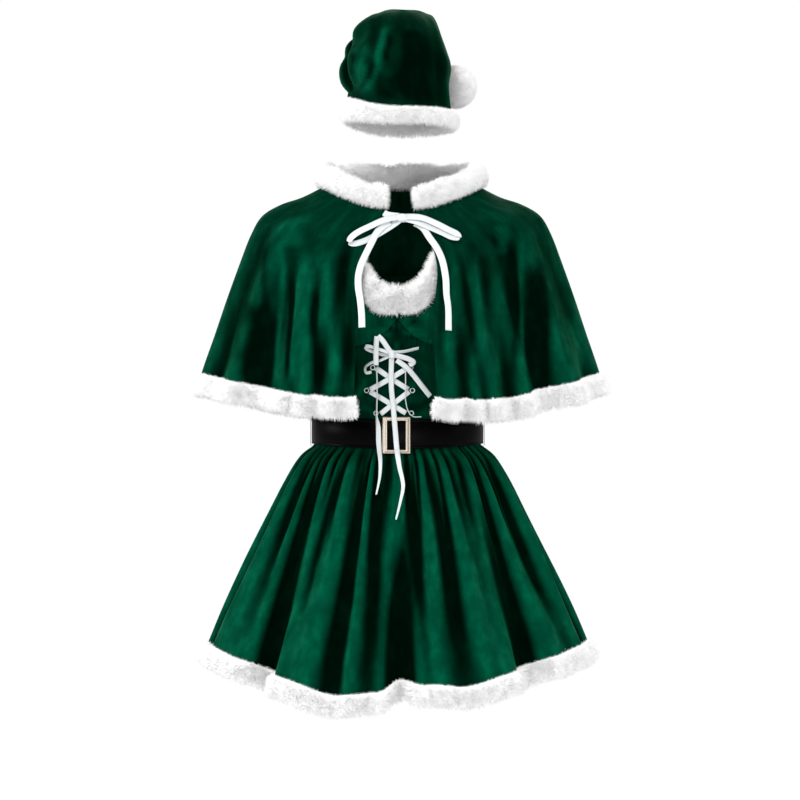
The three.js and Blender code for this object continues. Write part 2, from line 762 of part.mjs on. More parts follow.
// Front of the cape at a point, carried on across its opening
function capeFront(x, z) {
  const at = (v) => {
    const row = rowAt(CAPE, v);
    const offset = x - CAPE_CENTRE * (1 - v / CAPE_HEM_ROW);
    const turn = Math.asin(Math.min(Math.abs(offset) / row.halfWidth, 0.95));
    const angle = THREE.MathUtils.radToDeg(turn) * Math.sign(x || 1);
    const grown = (v / CAPE_HEM_ROW) ** 1.4;
    const y = -row.frontDepth * Math.cos(turn) - grown * waveAt(CAPE_FOLDS, angle, "out");
    return { y, z: ringHeight(row, angle) + grown * waveAt(CAPE_FOLDS, angle, "lift") };
  };
  let [low, high] = [0, CAPE_HEM_ROW];
  for (let i = 0; i < 24; i += 1) {
    const middle = (low + high) / 2;
    if (at(middle).z > z) low = middle;
    else high = middle;
  }
  return at(low).y;
}

// A ribbon that lies in front of the cloth: x, height, distance out and twist for each point
function ribbonOn(front, rows, width, fixedAcross) {
  const SLOPE_STEP = 1;
  const made = rows.map(([x, z, out, twist = 0], i) => {
    const slope = (front(x + SLOPE_STEP, z) - front(x - SLOPE_STEP, z)) / (2 * SLOPE_STEP);
    const normal = new THREE.Vector3(slope, -1, 0).normalize();
    const place = new THREE.Vector3(x, front(x, z), z).addScaledVector(normal, out);
    const [before, after] = [rows[Math.max(i - 1, 0)], rows[Math.min(i + 1, rows.length - 1)]];
    const tangent = new THREE.Vector3(after[0] - before[0], 0, after[1] - before[1]).normalize();
    const across = fixedAcross
      ? fixedAcross.clone()
      : tangent.clone().cross(normal).normalize().applyAxisAngle(tangent, radians(twist));
    return { place, across };
  });
  return band(made, width, RIBBON_WALL, 2 * (rows.length - 1));
}

// A small firm knot
function knot(centre, width, depth, height) {
  const geometry = new THREE.SphereGeometry(0.5, 8, 5);
  geometry.scale(width, depth, height);
  geometry.translate(...centre);
  return geometry;
}

// Tie of the cape: a knot between two short bands, with two loops and two tails
addMesh("tie_knot", "ribbon", knot([3, -89, -46], 15, 12, 14), cape);

const TIE = {
  tie_band_left: [[-23, -43, 1], [-18, -42.6, 2.2], [-12, -42.6, 6], [-4.8, -43.4, 8.4]],
  tie_band_right: [[27, -45, 2.4], [22.5, -44.6, 4.2], [17, -44.6, 7], [10.9, -44.6, 8.6]],
  tie_tail_left: [
    [-13, -52.5, 7.5],
    [-20, -56, 7.5],
    [-30, -65, 7.2],
    [-38.5, -82, 6.6],
    [-46.5, -98, 5],
    [-53, -113, 4],
    [-56, -127, 4],
    [-55.5, -143, 4.6],
    [-52.5, -159, 5],
    [-50.5, -178, 5],
    [-50, -197, 5],
  ],
  tie_tail_right: [
    [20, -53, 4.4],
    [26, -56, 4],
    [32, -61, 4],
    [39.5, -73, 4],
    [48, -86, 4],
    [54.5, -100, 4, 10],
    [58, -113, 4, 20],
    [60.5, -132, 4, 10],
    [61, -152, 4],
    [63, -171, 4],
    [63.5, -201, 4],
  ],
};
for (const [name, rows] of Object.entries(TIE)) {
  addMesh(name, "ribbon", ribbonOn(capeFront, rows, TIE_WIDTH), cape);
}

const TIE_LOOPS = {
  tie_loop_left: {
    across: new THREE.Vector3(-0.45, 0.45, 0.89),
    rows: [
      [-4.9, -45, 12.2],
      [-20, -49, 13],
      [-40, -58, 13],
      [-58, -68, 12],
      [-67, -75, 9.5],
      [-69, -80, 6],
      [-63, -82, 3.6],
      [-48, -78, 3.2],
      [-32, -70, 3.2],
      [-19, -62, 3.4],
    ],
  },
  tie_loop_right: {
    across: new THREE.Vector3(0.45, 0.45, 0.89),
    rows: [
      [10.9, -44.4, 12.2],
      [28, -46, 13],
      [48, -54, 13],
      [66, -63, 12],
      [76, -69, 9.5],
      [78, -73, 8.2],
      [72, -73, 7.6],
      [58, -67, 7.8],
      [42, -60, 8],
      [30, -54.5, 8.4],
    ],
  },
};
for (const [name, { across, rows }] of Object.entries(TIE_LOOPS)) {
  addMesh(name, "ribbon", ribbonOn(capeFront, rows, TIE_WIDTH, across), cape);
}

// Lacing down the midriff: thread loops, crossed ribbon, a bow and its free ends
const LACE_LOOPS = table("x height", [
  [-37, -250],
  [14.5, -250],
  [-45.5, -281],
  [16.8, -281],
  [-32.5, -312],
  [15.5, -312],
]);
const LACE_LOOP_RADIUS = 3;
const LACE_LOOP_THREAD = 0.6;
LACE_LOOPS.forEach(({ x, height }, i) => {
  const geometry = new THREE.TorusGeometry(LACE_LOOP_RADIUS, LACE_LOOP_THREAD, 3, 9);
  const loop = addMesh("lace_loop_" + (i + 1), "ribbon", geometry, dress);
  loop.rotation.x = Math.PI / 2;
  loop.rotation.y = Math.atan2(x - DRESS_CENTRE, 150);
  loop.position.set(x, dressFront(x, height) - 1.5, height);
});

const LACING = {
  lace_cross_1: [[-32.5, -250.5, 1.7], [-11, -265.5, 1.7], [11, -279.5, 1.7]],
  lace_cross_2: [[10, -250.5, 3.4], [-14, -265.5, 3.7], [-40, -280, 3.4]],
  lace_cross_3: [[-40.5, -282.5, 1.7], [-14, -298.5, 1.7], [8, -312, 1.7]],
  lace_cross_4: [[12, -282.5, 3.4], [-8, -298.5, 3.7], [-26, -313, 3.4]],
  lace_strip: [[-30.5, -208, 9.6], [-31, -222, 9.6], [-31, -236, 9.6], [-31, -247, 9.2]],
  lace_diagonal: [[-23.6, -210.5, 8.4], [-19, -219, 8], [-14.5, -225.5, 7.4]],
  lace_bow_right: [
    [-5.6, -229.5, 6.6, 50],
    [6, -228.5, 7, 60],
    [18, -225.5, 7, 60],
    [24.5, -224, 6.6, 60],
  ],
  lace_bow_low: [
    [-6, -234, 6.2, 20],
    [3, -236, 6.6, 20],
    [12, -239, 6.4, 10],
    [17.5, -243, 5.6, 0],
    [12, -247, 4.8, 0],
  ],
};
const LACE_TAILS = {
  lace_tail_centre: [
    [-11, -238, 7],
    [-11.5, -250, 6.4],
    [-11.5, -276, 5.8],
    [-9, -303, 5.8],
    [-8, -314, 8.4],
    [-7, -327, 5.6],
    [-4.5, -357, 5.6],
    [-3, -370, 12, 10],
    [-0.7, -385, 5.5, 20],
    [4, -409, 4.5, 10],
    [0.5, -430, 4, -10],
    [-5.4, -454, 4, 20],
  ],
  lace_tail_left: [
    [-30.5, -254, 8, 70],
    [-30, -270, 7.8, 70],
    [-30, -288, 7.6, 70],
    [-30.5, -306, 7.4, 70],
    [-30.5, -317, 7, 60],
    [-29, -331, 3.4, 20],
    [-28.5, -348, 3, 0],
    [-27.5, -362, 4, 0],
    [-26, -377, 4.4, 10],
    [-27, -399, 4, 30],
    [-31.4, -421, 4, 40],
  ],
  lace_tail_right: [
    [-4.8, -240, 5.8],
    [1, -244, 5.8],
    [9.5, -251, 5.8],
    [19, -262, 4.6],
    [29, -275, 4],
    [40, -289, 4],
  ],
};
for (const [name, rows] of Object.entries({ ...LACING, ...LACE_TAILS })) {
  addMesh(name, "ribbon", ribbonOn(dressFront, rows, LACE_WIDTH), dress);
}

const LACE_STRAND = [
  [7, -254, 6.6, 75],
  [7, -275, 6.4, 75],
  [7, -294, 6.2, 75],
  [11, -310, 5.6, 75],
  [17, -316.5, 5, 75],
  [28, -317, 4.4, 75],
];
addMesh("lace_strand", "ribbon", ribbonOn(dressFront, LACE_STRAND, STRAND_WIDTH), dress);

addMesh("lace_knot", "ribbon", knot([-11, dressFront(-11, -231) - 6.6, -231], 9.6, 6, 8.6), dress);

const LACE_BOW_LEFT = [
  [-16.4, -230, 7.4],
  [-28, -225.5, 7],
  [-40, -221.5, 6.4],
  [-46, -221.5, 5],
  [-44, -225, 3],
  [-32, -230, 2],
  [-20, -233.5, 2],
];
const LACE_CURL = [
  [-16.5, -236, 5, 40],
  [-27, -240.5, 5, 40],
  [-38, -243.5, 5, 40],
  [-46, -250, 4.4, 40],
  [-45, -257, 3.6, 30],
  [-38, -256, 3.4, 30],
];
const FOLDED_WIDTH = 4.6;
const bowAcross = new THREE.Vector3(0.3, 0, 0.95);
addMesh("lace_bow_left", "ribbon", ribbonOn(dressFront, LACE_BOW_LEFT, FOLDED_WIDTH, bowAcross), dress);
addMesh("lace_curl", "ribbon", ribbonOn(dressFront, LACE_CURL, FOLDED_WIDTH), dress);

// Hat: the pointed crown folds over the back and carries the pompom at its tip
const hat = new THREE.Group();
set.add(hat);

function hatBase(angle, v) {
  const row = rowAt(HAT, v);
  const turn = radians(angle);
  const across = Math.sin(turn);
  const ahead = (1 + Math.cos(turn)) / 2;
  const centre = (row.left + row.right) / 2;
  const rise = (across > 0 ? row.rightRise : row.leftRise) * across ** 2;
  return new THREE.Vector3(
    centre + ((row.right - row.left) / 2) * across,
    mix(row.backY, row.frontY, ahead),
    mix(row.backZ, row.frontZ, ahead) + rise,
  );
}

const hatRelief = (angle, v) => ({
  out: rowAt(HAT, v).relief * waveAt(HAT_FOLDS, angle, "out"),
  lift: 0,
});
const hatCloth = surfaceOf(hatBase, hatRelief, 0.5, 0.02);
const hatColumns = spread(0, 360, HAT_COLUMNS).slice(1);
const hatRows = [...spread(0, HAT_TRIM_ROW - 1, HAT_TRIM_ROW - 1), HAT_TRIM_ROW - 0.014];
addMesh("hat_body", "velvet", panel(hatCloth, () => hatColumns, hatRows, true), hat);
const brim = plushStrip(hatCloth, hatColumns, () => HAT_TRIM_ROW, () => HAT_HEM_ROW, true);
addMesh("hat_brim", "plush", brim, hat);

// Pompom: a core ball with a short three-sided lock on each face
function pompomGeometry() {
  const core = new THREE.IcosahedronGeometry(POMPOM_CORE, 1);
  const corner = core.getAttribute("position");
  const at = (i) => new THREE.Vector3().fromBufferAttribute(corner, i);
  const places = [];
  for (let i = 0; i < corner.count; i += 3) {
    const [a, b, c] = [at(i), at(i + 1), at(i + 2)];
    const tip = a.clone().add(b).add(c).setLength(POMPOM_RADIUS);
    places.push(a, b, tip, b, c, tip, c, a, tip);
  }
  return new THREE.BufferGeometry().setFromPoints(places);
}
const pompom = addMesh("hat_pompom", "plush", pompomGeometry(), hat);
pompom.position.copy(POMPOM_CENTRE);

export default set;
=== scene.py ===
# %% [markdown]
# # A velvet dress, cape and hat with plush trim
# The set is worn cloth, so every panel here is a thin shell that follows the same sections as the
# solids in the frame, with the finer creases added. The plush is real geometry: thousands of short
# locks, scattered by Geometry Nodes. Lengths in the tables are millimetres; Blender gets metres.

# %% Tools, and the solids of the frame
import math

import bpy
import numpy as np
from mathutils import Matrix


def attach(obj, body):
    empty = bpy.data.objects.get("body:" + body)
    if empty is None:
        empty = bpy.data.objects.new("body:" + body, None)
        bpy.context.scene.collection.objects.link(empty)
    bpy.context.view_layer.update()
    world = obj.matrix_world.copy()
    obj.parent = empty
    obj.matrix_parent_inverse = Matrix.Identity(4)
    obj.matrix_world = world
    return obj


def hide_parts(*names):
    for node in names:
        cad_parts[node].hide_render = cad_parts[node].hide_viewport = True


MM = 0.001
ROOT = "root"

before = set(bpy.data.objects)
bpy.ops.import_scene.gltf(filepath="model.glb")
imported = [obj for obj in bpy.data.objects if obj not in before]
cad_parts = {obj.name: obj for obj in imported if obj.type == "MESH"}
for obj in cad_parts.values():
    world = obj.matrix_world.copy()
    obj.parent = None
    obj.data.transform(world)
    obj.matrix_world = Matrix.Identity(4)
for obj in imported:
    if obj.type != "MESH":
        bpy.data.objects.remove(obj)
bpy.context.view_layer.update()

# %% [markdown]
# The picture is a level front view from a little over three metres, at waist height, with a long
# lens that takes in 1.12 m at the set. The camera comes first, because the free ribbon ends are
# judged from it.

# %% Camera
CAMERA_DISTANCE = 3.2
CAMERA_HEIGHT = -0.294
PICTURE_WIDTH = 1.12
SENSOR_WIDTH = 36
camera_data = bpy.data.cameras.new("front_view")
camera_data.lens = round(SENSOR_WIDTH * CAMERA_DISTANCE / PICTURE_WIDTH, 2)
camera_data.sensor_width = SENSOR_WIDTH
camera_data.clip_end = 60
camera = bpy.data.objects.new("front_view", camera_data)
camera.location = (0, -CAMERA_DISTANCE, CAMERA_HEIGHT)
camera.rotation_euler = (math.pi / 2, 0, 0)
bpy.context.collection.objects.link(camera)
bpy.context.scene.camera = camera
print("camera", tuple(camera.location), "lens", camera_data.lens)

# %% [markdown]
# A garment is easiest to describe by its level sections: how wide and deep it is at each height.
# Each table has named columns, and a smooth curve runs through its rows. All helpers take whole
# arrays, so a panel of ten thousand points is one call.


# %% Tables, and smooth curves through them
def table(names, rows):
    """Named columns of numbers."""
    return dict(zip(names.split(), np.array(rows, dtype=float).T))


def mix(a, b, share):
    return a + (b - a) * share


def unit(vectors):
    return vectors / np.linalg.norm(vectors, axis=-1, keepdims=True)


def row_at(rows, place):
    """Every column at a place between the rows, smooth through each row."""
    names = list(rows)
    keys = rows[names[0]]
    last = len(keys) - 1
    place = np.asarray(place, dtype=float)
    i = np.clip(np.searchsorted(keys, place, side="left") - 1, 0, last - 1)
    before, after = np.maximum(i - 1, 0), np.minimum(i + 2, last)
    span = keys[i + 1] - keys[i]
    t = (place - keys[i]) / span
    found = {}
    for name, column in rows.items():
        slope_from = (column[i + 1] - column[before]) / (keys[i + 1] - keys[before]) * span
        slope_to = (column[after] - column[i]) / (keys[after] - keys[i]) * span
        found[name] = (
            (1 + 2 * t) * (1 - t) ** 2 * column[i]
            + t * (1 - t) ** 2 * slope_from
            + t * t * (3 - 2 * t) * column[i + 1]
            + t * t * (t - 1) * slope_to
        )
    return found


def wave_at(rows, angle, name):
    """A fold table's value at angles in degrees, all the way round."""
    angles, values = rows["angle"], rows[name]
    turned = angles[0] + (np.asarray(angle, dtype=float) - angles[0]) % 360
    i = np.searchsorted(angles, turned, side="right") - 1
    following = (i + 1) % len(angles)
    span = (angles[following] - angles[i]) % 360
    ease = (1 - np.cos(np.pi * (turned - angles[i]) / span)) / 2
    return mix(values[i], values[following], ease)


# %% [markdown]
# A surface has two parts: a smooth base, and a relief that moves each point out along the base's
# normal. The folds live in the relief, so the same cloth can be raised a little to lay plush or
# ribbon on it, and nothing cuts through it.


# %% Surfaces with relief
def normal_of(base, step_u, step_v):
    """normal(u, v) of a base; u runs round it and v down it."""

    def normal(u, v):
        along = base(u + step_u, v) - base(u - step_u, v)
        down = base(u, v + step_v) - base(u, v - step_v)
        return unit(np.cross(down, along))

    return normal


def surface_of(base, relief, normal):
    """point(u, v, raised) on a base with its relief, moved out along the base's normal."""

    def point(u, v, raised=0.0):
        u, v = np.broadcast_arrays(np.asarray(u, dtype=float), np.asarray(v, dtype=float))
        out, lift = relief(u, v)
        place = base(u, v) + normal(u, v) * (out + raised)[..., None]
        place[..., 2] += lift
        return place

    return point


def ellipse_at(centre, half_width, front, back, angle, height):
    """A point on a level ellipse that is as deep in front and at the back as given."""
    turn = np.radians(angle)
    depth = np.where(np.cos(turn) > 0, front, back)
    x = centre + half_width * np.sin(turn)
    return np.stack([x, -depth * np.cos(turn), height + 0 * x], axis=-1)


def ring_height(row, angle):
    """The height of a garment ring at an angle, between its side and its front or back."""
    turn = np.radians(angle)
    end = np.where(np.cos(turn) > 0, row["front"], row["back"])
    return row["side"] + (end - row["side"]) * np.cos(turn) ** 2


CREASE_COLUMNS = "fromX fromZ toX toZ width out"
CREASE_FADE = 40.0


def creases_at(rows, base_place, side):
    """Soft ridges and troughs along short lines, fading at both ends; side -1 is the front."""
    x, y, z = base_place[..., 0], base_place[..., 1], base_place[..., 2]
    facing = np.clip(side * y / CREASE_FADE, 0, 1)
    total = np.zeros_like(x)
    for from_x, from_z, to_x, to_z, width, out in np.column_stack(list(rows.values())):
        length = math.hypot(to_x - from_x, to_z - from_z)
        along_x, along_z = (to_x - from_x) / length, (to_z - from_z) / length
        along = ((x - from_x) * along_x + (z - from_z) * along_z) / length
        off = (x - from_x) * along_z - (z - from_z) * along_x
        off = off + 0.25 * width * np.sin(9 * along + from_x)
        fade = np.clip(along * 4, 0, 1) * np.clip((1 - along) * 4, 0, 1)
        fade = fade * fade * (3 - 2 * fade)
        total += out * fade * np.exp(-((off / width) ** 2))
    return total * facing


def creases_round(rows, base_place):
    """The same creases on the front and, mirrored left to right, on the back."""
    return creases_at(rows, base_place, -1) + creases_at(rows, base_place * [-1, 1, 1], 1)


print("helpers ready")

# %% [markdown]
# Meshes are made from grids of points. A panel has an outer and an inner layer and a rim, like real
# cloth cut to shape. Each panel gets a map in metres of cloth, so that the nap of the velvet can run
# down it. Faces point outwards; a volume test turns them if they don't.


# %% Meshes from grids
def new_object(name, points, faces, stuff, smooth=True, cloth=None):
    """A mesh object from points in millimetres; cloth gives each point's place on the fabric."""
    points = np.asarray(points, dtype=float) * MM
    mesh = bpy.data.meshes.new(name)
    mesh.from_pydata(points.tolist(), [], [list(map(int, face)) for face in faces])
    corners = np.array([[face[0], face[1], face[2]] for face in faces])
    a, b, c = points[corners[:, 0]], points[corners[:, 1]], points[corners[:, 2]]
    if np.einsum("ij,ij->i", a, np.cross(b, c)).sum() < 0:
        mesh.flip_normals()
    if cloth is not None:
        layer = mesh.uv_layers.new(name="cloth")
        loops = np.empty(len(mesh.loops), dtype=np.int32)
        mesh.loops.foreach_get("vertex_index", loops)
        layer.data.foreach_set("uv", np.asarray(cloth, dtype=np.float32)[loops].ravel())
    mesh.materials.append(stuff)
    if smooth:
        mesh.shade_smooth()
    mesh.update()
    obj = bpy.data.objects.new(name, mesh)
    bpy.context.collection.objects.link(obj)
    return obj


def smoothed(grid, steps, closed):
    """A grid of points evened out along its columns, over about this many steps."""
    reach = 3 * steps
    around = ((0, 0), (reach, reach), (0, 0))
    if closed:
        padded = np.pad(grid, around, mode="wrap")
    else:
        padded = np.pad(grid, around, mode="reflect", reflect_type="odd")
    weights = np.exp(-0.5 * (np.arange(-reach, reach + 1) / steps) ** 2)
    weights /= weights.sum()
    return sum(w * padded[:, k : k + grid.shape[1]] for k, w in enumerate(weights))


def crests(grid, steps, closed):
    """How far each point stands out of the evened cloth, in millimetres: crests up, valleys down."""
    even = smoothed(grid, steps, closed)
    along = np.gradient(even, axis=1)
    down = np.gradient(even, axis=0)
    out = unit(np.cross(along, down))
    raised = ((grid - even) * out).sum(axis=-1, keepdims=True)
    raised = (raised - smoothed(raised, 2 * steps, closed))[..., 0]
    centre = grid.reshape(-1, 3).mean(axis=0)
    outwards = ((grid - centre) * out).sum() > 0
    return raised if outwards else -raised


def grid_faces(rows, columns, start=0, closed=False):
    """Quads between neighbouring points of a grid that is numbered row by row."""
    across = columns if closed else columns - 1
    i, j = np.meshgrid(np.arange(rows - 1), np.arange(across), indexing="ij")
    following = (j + 1) % columns
    quads = np.stack(
        [
            i * columns + j,
            (i + 1) * columns + j,
            (i + 1) * columns + following,
            i * columns + following,
        ],
        axis=-1,
    )
    return (quads.reshape(-1, 4) + start).tolist()


def shell(name, outer, inner, stuff, closed=False, crest_steps=8, crest_gain=1.0, nap_and_painted_light=0.0):
    """Cloth between an outer and an inner grid, closed at its edges; the last value adds painted light and
    shade.
    """
    rows, columns = outer.shape[:2]
    count = rows * columns
    faces = grid_faces(rows, columns, 0, closed)
    faces += [face[::-1] for face in grid_faces(rows, columns, count, closed)]
    ring = columns if closed else columns - 1
    for first, turned in ((0, True), ((rows - 1) * columns, False)):
        edge = range(first, first + columns)
        for j in range(ring):
            a, b = edge[j], edge[(j + 1) % columns]
            quad = [a, a + count, b + count, b]
            faces.append(quad[::-1] if turned else quad)
    if not closed:
        for at, turned in ((0, False), (columns - 1, True)):
            for i in range(rows - 1):
                a, b = i * columns + at, (i + 1) * columns + at
                quad = [a, a + count, b + count, b]
                faces.append(quad[::-1] if turned else quad)
    points = np.concatenate([outer.reshape(-1, 3), inner.reshape(-1, 3)])
    steps = np.linalg.norm(np.diff(outer, axis=1), axis=-1)
    across = np.concatenate([np.zeros((rows, 1)), np.cumsum(steps, axis=1)], axis=1)
    across = np.repeat(across.mean(axis=0, keepdims=True), rows, axis=0)
    falls = np.linalg.norm(np.diff(outer, axis=0), axis=-1)
    down = np.concatenate([np.zeros((1, columns)), np.cumsum(falls, axis=0)], axis=0)
    cloth = np.stack([across, down], axis=-1).reshape(-1, 2) * MM
    piece = new_object(name, points, faces, stuff, cloth=np.concatenate([cloth, cloth]))
    height = (crest_gain * crests(outer, crest_steps, closed) + nap_and_painted_light).ravel()
    crest = piece.data.attributes.new(name="crest", type="FLOAT", domain="POINT")
    crest.data.foreach_set("value", np.concatenate([height, -height]).astype(np.float32))
    return piece


def tube(name, sections, stuff, closed=False, smooth=True):
    """A solid through closed sections, given as [section, point, xyz]."""
    count, around = sections.shape[:2]
    points = sections.reshape(-1, 3)
    looped = np.concatenate([sections, sections[:1]]) if closed else sections
    faces = grid_faces(len(looped), around, 0, True)
    if closed:
        faces = [[n % (count * around) for n in face] for face in faces]
    else:
        faces.append(list(range(around)))
        faces.append([(count - 1) * around + n for n in reversed(range(around))])
    steps = np.linalg.norm(np.diff(sections.mean(axis=1), axis=0), axis=-1)
    down = np.concatenate([[0], np.cumsum(steps)])[:, None].repeat(around, axis=1)
    width = np.linalg.norm(sections - sections[:, :1], axis=-1)
    cloth = np.stack([width, down], axis=-1).reshape(-1, 2) * MM
    return new_object(name, points, faces, stuff, smooth=smooth, cloth=cloth)


def mesh_triangles(obj):
    return sum(len(polygon.vertices) - 2 for polygon in obj.data.polygons)


def soft_edges(obj, degrees=35):
    """Keeps edges sharper than this angle crisp on an otherwise smooth mesh."""
    obj.data.set_sharp_from_angle(angle=math.radians(degrees))


print("mesh makers ready")

# %% [markdown]
# Every piece ends in the same way: it rides the set's one body and it takes the place of its solid.


# %% How a piece is handed over
def stands_for(piece, node):
    """Puts a piece on the body in place of a solid, and prints what was made."""
    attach(piece, ROOT)
    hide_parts(node)
    print(piece.name, "for", node, "with", mesh_triangles(piece), "triangles")


# %% [markdown]
# Materials are built from small procedural nodes. Colours are written as hex values, and one
# function turns them to linear light. Noise scales are cells to a metre, since Blender gets metres.


# %% Node and colour helpers
def linear(code):
    """An sRGB hex colour as linear RGBA."""
    channels = [int(code[i : i + 2], 16) / 255 for i in (1, 3, 5)]
    return [c / 12.92 if c <= 0.04045 else ((c + 0.055) / 1.055) ** 2.4 for c in channels] + [1.0]


def add_node(tree, kind, inputs=None, links=None, **settings):
    """A node with its settings, its socket values and its links from other sockets."""
    node = tree.nodes.new(kind)
    for name, value in settings.items():
        setattr(node, name, value)
    for name, value in (inputs or {}).items():
        node.inputs[name].default_value = value
    for name, socket in (links or {}).items():
        tree.links.new(socket, node.inputs[name])
    return node


def noise_at(tree, vector, scale, detail=2.0, roughness=0.5):
    """Soft noise with this many cells to a unit of its vector."""
    values = {"Scale": scale, "Detail": detail, "Roughness": roughness}
    return add_node(tree, "ShaderNodeTexNoise", values, {"Vector": vector}).outputs["Fac"]


def ranged(tree, value, before, after, **settings):
    """A value carried from the range before to the range after, and held at its ends."""
    values = {"From Min": before[0], "From Max": before[1], "To Min": after[0], "To Max": after[1]}
    return add_node(tree, "ShaderNodeMapRange", values, {"Value": value}, **settings).outputs["Result"]


def bump_from(tree, height, strength, distance, under=None):
    """The normal of a bump, laid over another one if it is given; distance is in metres."""
    links = {"Height": height}
    if under is not None:
        links["Normal"] = under
    values = {"Strength": strength, "Distance": distance}
    return add_node(tree, "ShaderNodeBump", values, links).outputs["Normal"]


def new_material(name):
    stuff = bpy.data.materials.new(name)
    stuff.use_nodes = True
    tree = stuff.node_tree
    return stuff, tree, tree.nodes["Principled BSDF"]


def set_ramp(node, stops):
    """Colour stops as (position, hex) on a colour ramp."""
    ramp = node.color_ramp
    while len(ramp.elements) < len(stops):
        ramp.elements.new(0.5)
    for element, (position, code) in zip(ramp.elements, stops):
        element.position = position
        element.color = linear(code)


# %% [markdown]
# Velvet is a cut pile: fine upright fibres, about 1.5 mm long, on a knitted back. Seen along the
# fibres it is almost black; seen across them it shines softly, so the fold sides light up. Sheen
# gives that. The pile also lies in brushed patches, drawn as stretched noise along the cloth's fall.
# The crests of the folds are painted lighter and the valleys darker, as painted highlight and
# shade. Each panel holds its crest, the millimetres by which a point stands out of the evened cloth,
# with strokes of painted light added on some; the colour and the gloss are scaled by it.

# %% Velvet, polyester pile, dark green
NAP_ACROSS = 75.0
NAP_DOWN = 26.0
PATCHES = 60.0
PATCH_SHARE = 0.35
FIBRES = 750.0
VALLEY_DEPTH = 1.6
CREST_HEIGHT = 2.3
velvet, tree, shader = new_material("velvet_dark_green_cut_pile")
cloth_map = add_node(tree, "ShaderNodeUVMap", uv_map="cloth").outputs["UV"]
nap_scale = {"Scale": (NAP_ACROSS, NAP_DOWN, 1)}
along_fall = add_node(tree, "ShaderNodeMapping", nap_scale, {"Vector": cloth_map})
place = add_node(tree, "ShaderNodeTexCoord").outputs["Object"]
brushed = noise_at(tree, along_fall.outputs["Vector"], 1.0, detail=3.0)
patches = noise_at(tree, place, PATCHES, detail=3.0, roughness=0.6)
pile = noise_at(tree, place, FIBRES, roughness=0.6)
laid = {"A": brushed, "B": patches}
nap_and_painted_light = add_node(tree, "ShaderNodeMix", {"Factor": PATCH_SHARE}, laid, data_type="FLOAT").outputs["Result"]
shade = add_node(tree, "ShaderNodeValToRGB", links={"Fac": nap_and_painted_light})
set_ramp(shade, [(0.34, "#002518"), (0.5, "#002c1d"), (0.66, "#003825")])
# Painted shade and highlight: the crest scales the colour from 0.12 to 1.8 times, valleys to crests.
fold = add_node(tree, "ShaderNodeAttribute", attribute_name="crest").outputs["Fac"]
lit = ranged(tree, fold, (-VALLEY_DEPTH, CREST_HEIGHT), (0.0, 1.0), interpolation_type="SMOOTHSTEP")
painted_light_scale = ranged(tree, lit, (0.0, 1.0), (0.12, 1.8))
deep = add_node(
    tree,
    "ShaderNodeVectorMath",
    operation="SCALE",
    links={0: shade.outputs["Color"], "Scale": painted_light_scale},
)
tree.links.new(deep.outputs["Vector"], shader.inputs["Base Color"])
# The gloss is scaled by the same painted light, so the crests get a painted highlight.
nap_gloss = ranged(tree, nap_and_painted_light, (0.35, 0.65), (0.0, 0.02))
gloss_with_painted_highlight = add_node(tree, "ShaderNodeMath", operation="MULTIPLY", links={0: nap_gloss, 1: lit})
tree.links.new(gloss_with_painted_highlight.outputs["Value"], shader.inputs["Specular IOR Level"])
shader.inputs["Specular Tint"].default_value = linear("#18b87a")
shader.inputs["Roughness"].default_value = 0.48
shader.inputs["Sheen Weight"].default_value = 0.3
shader.inputs["Sheen Tint"].default_value = linear("#0f8a58")
shader.inputs["Sheen Roughness"].default_value = 0.3
grain = bump_from(tree, pile, 0.35, 0.0006)
brush_marks = bump_from(tree, brushed, 0.1, 0.0016, under=grain)
tree.links.new(brush_marks, shader.inputs["Normal"])
print(velvet.name)

# %% [markdown]
# The trim is white polyester plush: dense curly locks about 8 to 12 mm long that scatter light, so
# the shadows between them stay pale. A rough white with a little sheen does it on real locks.

# %% Plush, polyester pile, white
PLUSH_CLUMPS = 90.0
plush, tree, shader = new_material("plush_white_polyester_pile")
place = add_node(tree, "ShaderNodeTexCoord").outputs["Object"]
shade = add_node(tree, "ShaderNodeValToRGB", links={"Fac": noise_at(tree, place, PLUSH_CLUMPS)})
set_ramp(shade, [(0.3, "#efefef"), (0.62, "#f9f9f9")])
tree.links.new(shade.outputs["Color"], shader.inputs["Base Color"])
shader.inputs["Roughness"].default_value = 0.9
shader.inputs["Specular IOR Level"].default_value = 0.15
shader.inputs["Sheen Weight"].default_value = 0.5
shader.inputs["Sheen Roughness"].default_value = 0.6
print(plush.name)

# %% [markdown]
# The ribbon is woven polyester. A fine rib runs across it and gives a soft satin gloss, so its map
# carries one row of bands. Blender's bands pass through twenty radians to a unit of their scale.

# %% Ribbon, woven polyester, white
RIB_SPACING = 0.9
BAND_RADIANS = 20
ribbon, tree, shader = new_material("ribbon_white_woven_satin")
cloth_map = add_node(tree, "ShaderNodeUVMap", uv_map="cloth").outputs["UV"]
ribs = add_node(
    tree,
    "ShaderNodeTexWave",
    wave_type="BANDS",
    bands_direction="Y",
    inputs={"Scale": 2 * math.pi / (BAND_RADIANS * RIB_SPACING * MM), "Distortion": 0.6, "Detail": 1.0},
    links={"Vector": cloth_map},
)
woven = bump_from(tree, ribs.outputs["Fac"], 0.25, 0.0003)
tree.links.new(woven, shader.inputs["Normal"])
shader.inputs["Base Color"].default_value = linear("#c6cbcc")
shader.inputs["Roughness"].default_value = 0.38
shader.inputs["Sheen Weight"].default_value = 0.25
print(ribbon.name)

# %% [markdown]
# Imitation leather is a plastic film pressed on cloth: black, with a fine pebble and a broad gloss.

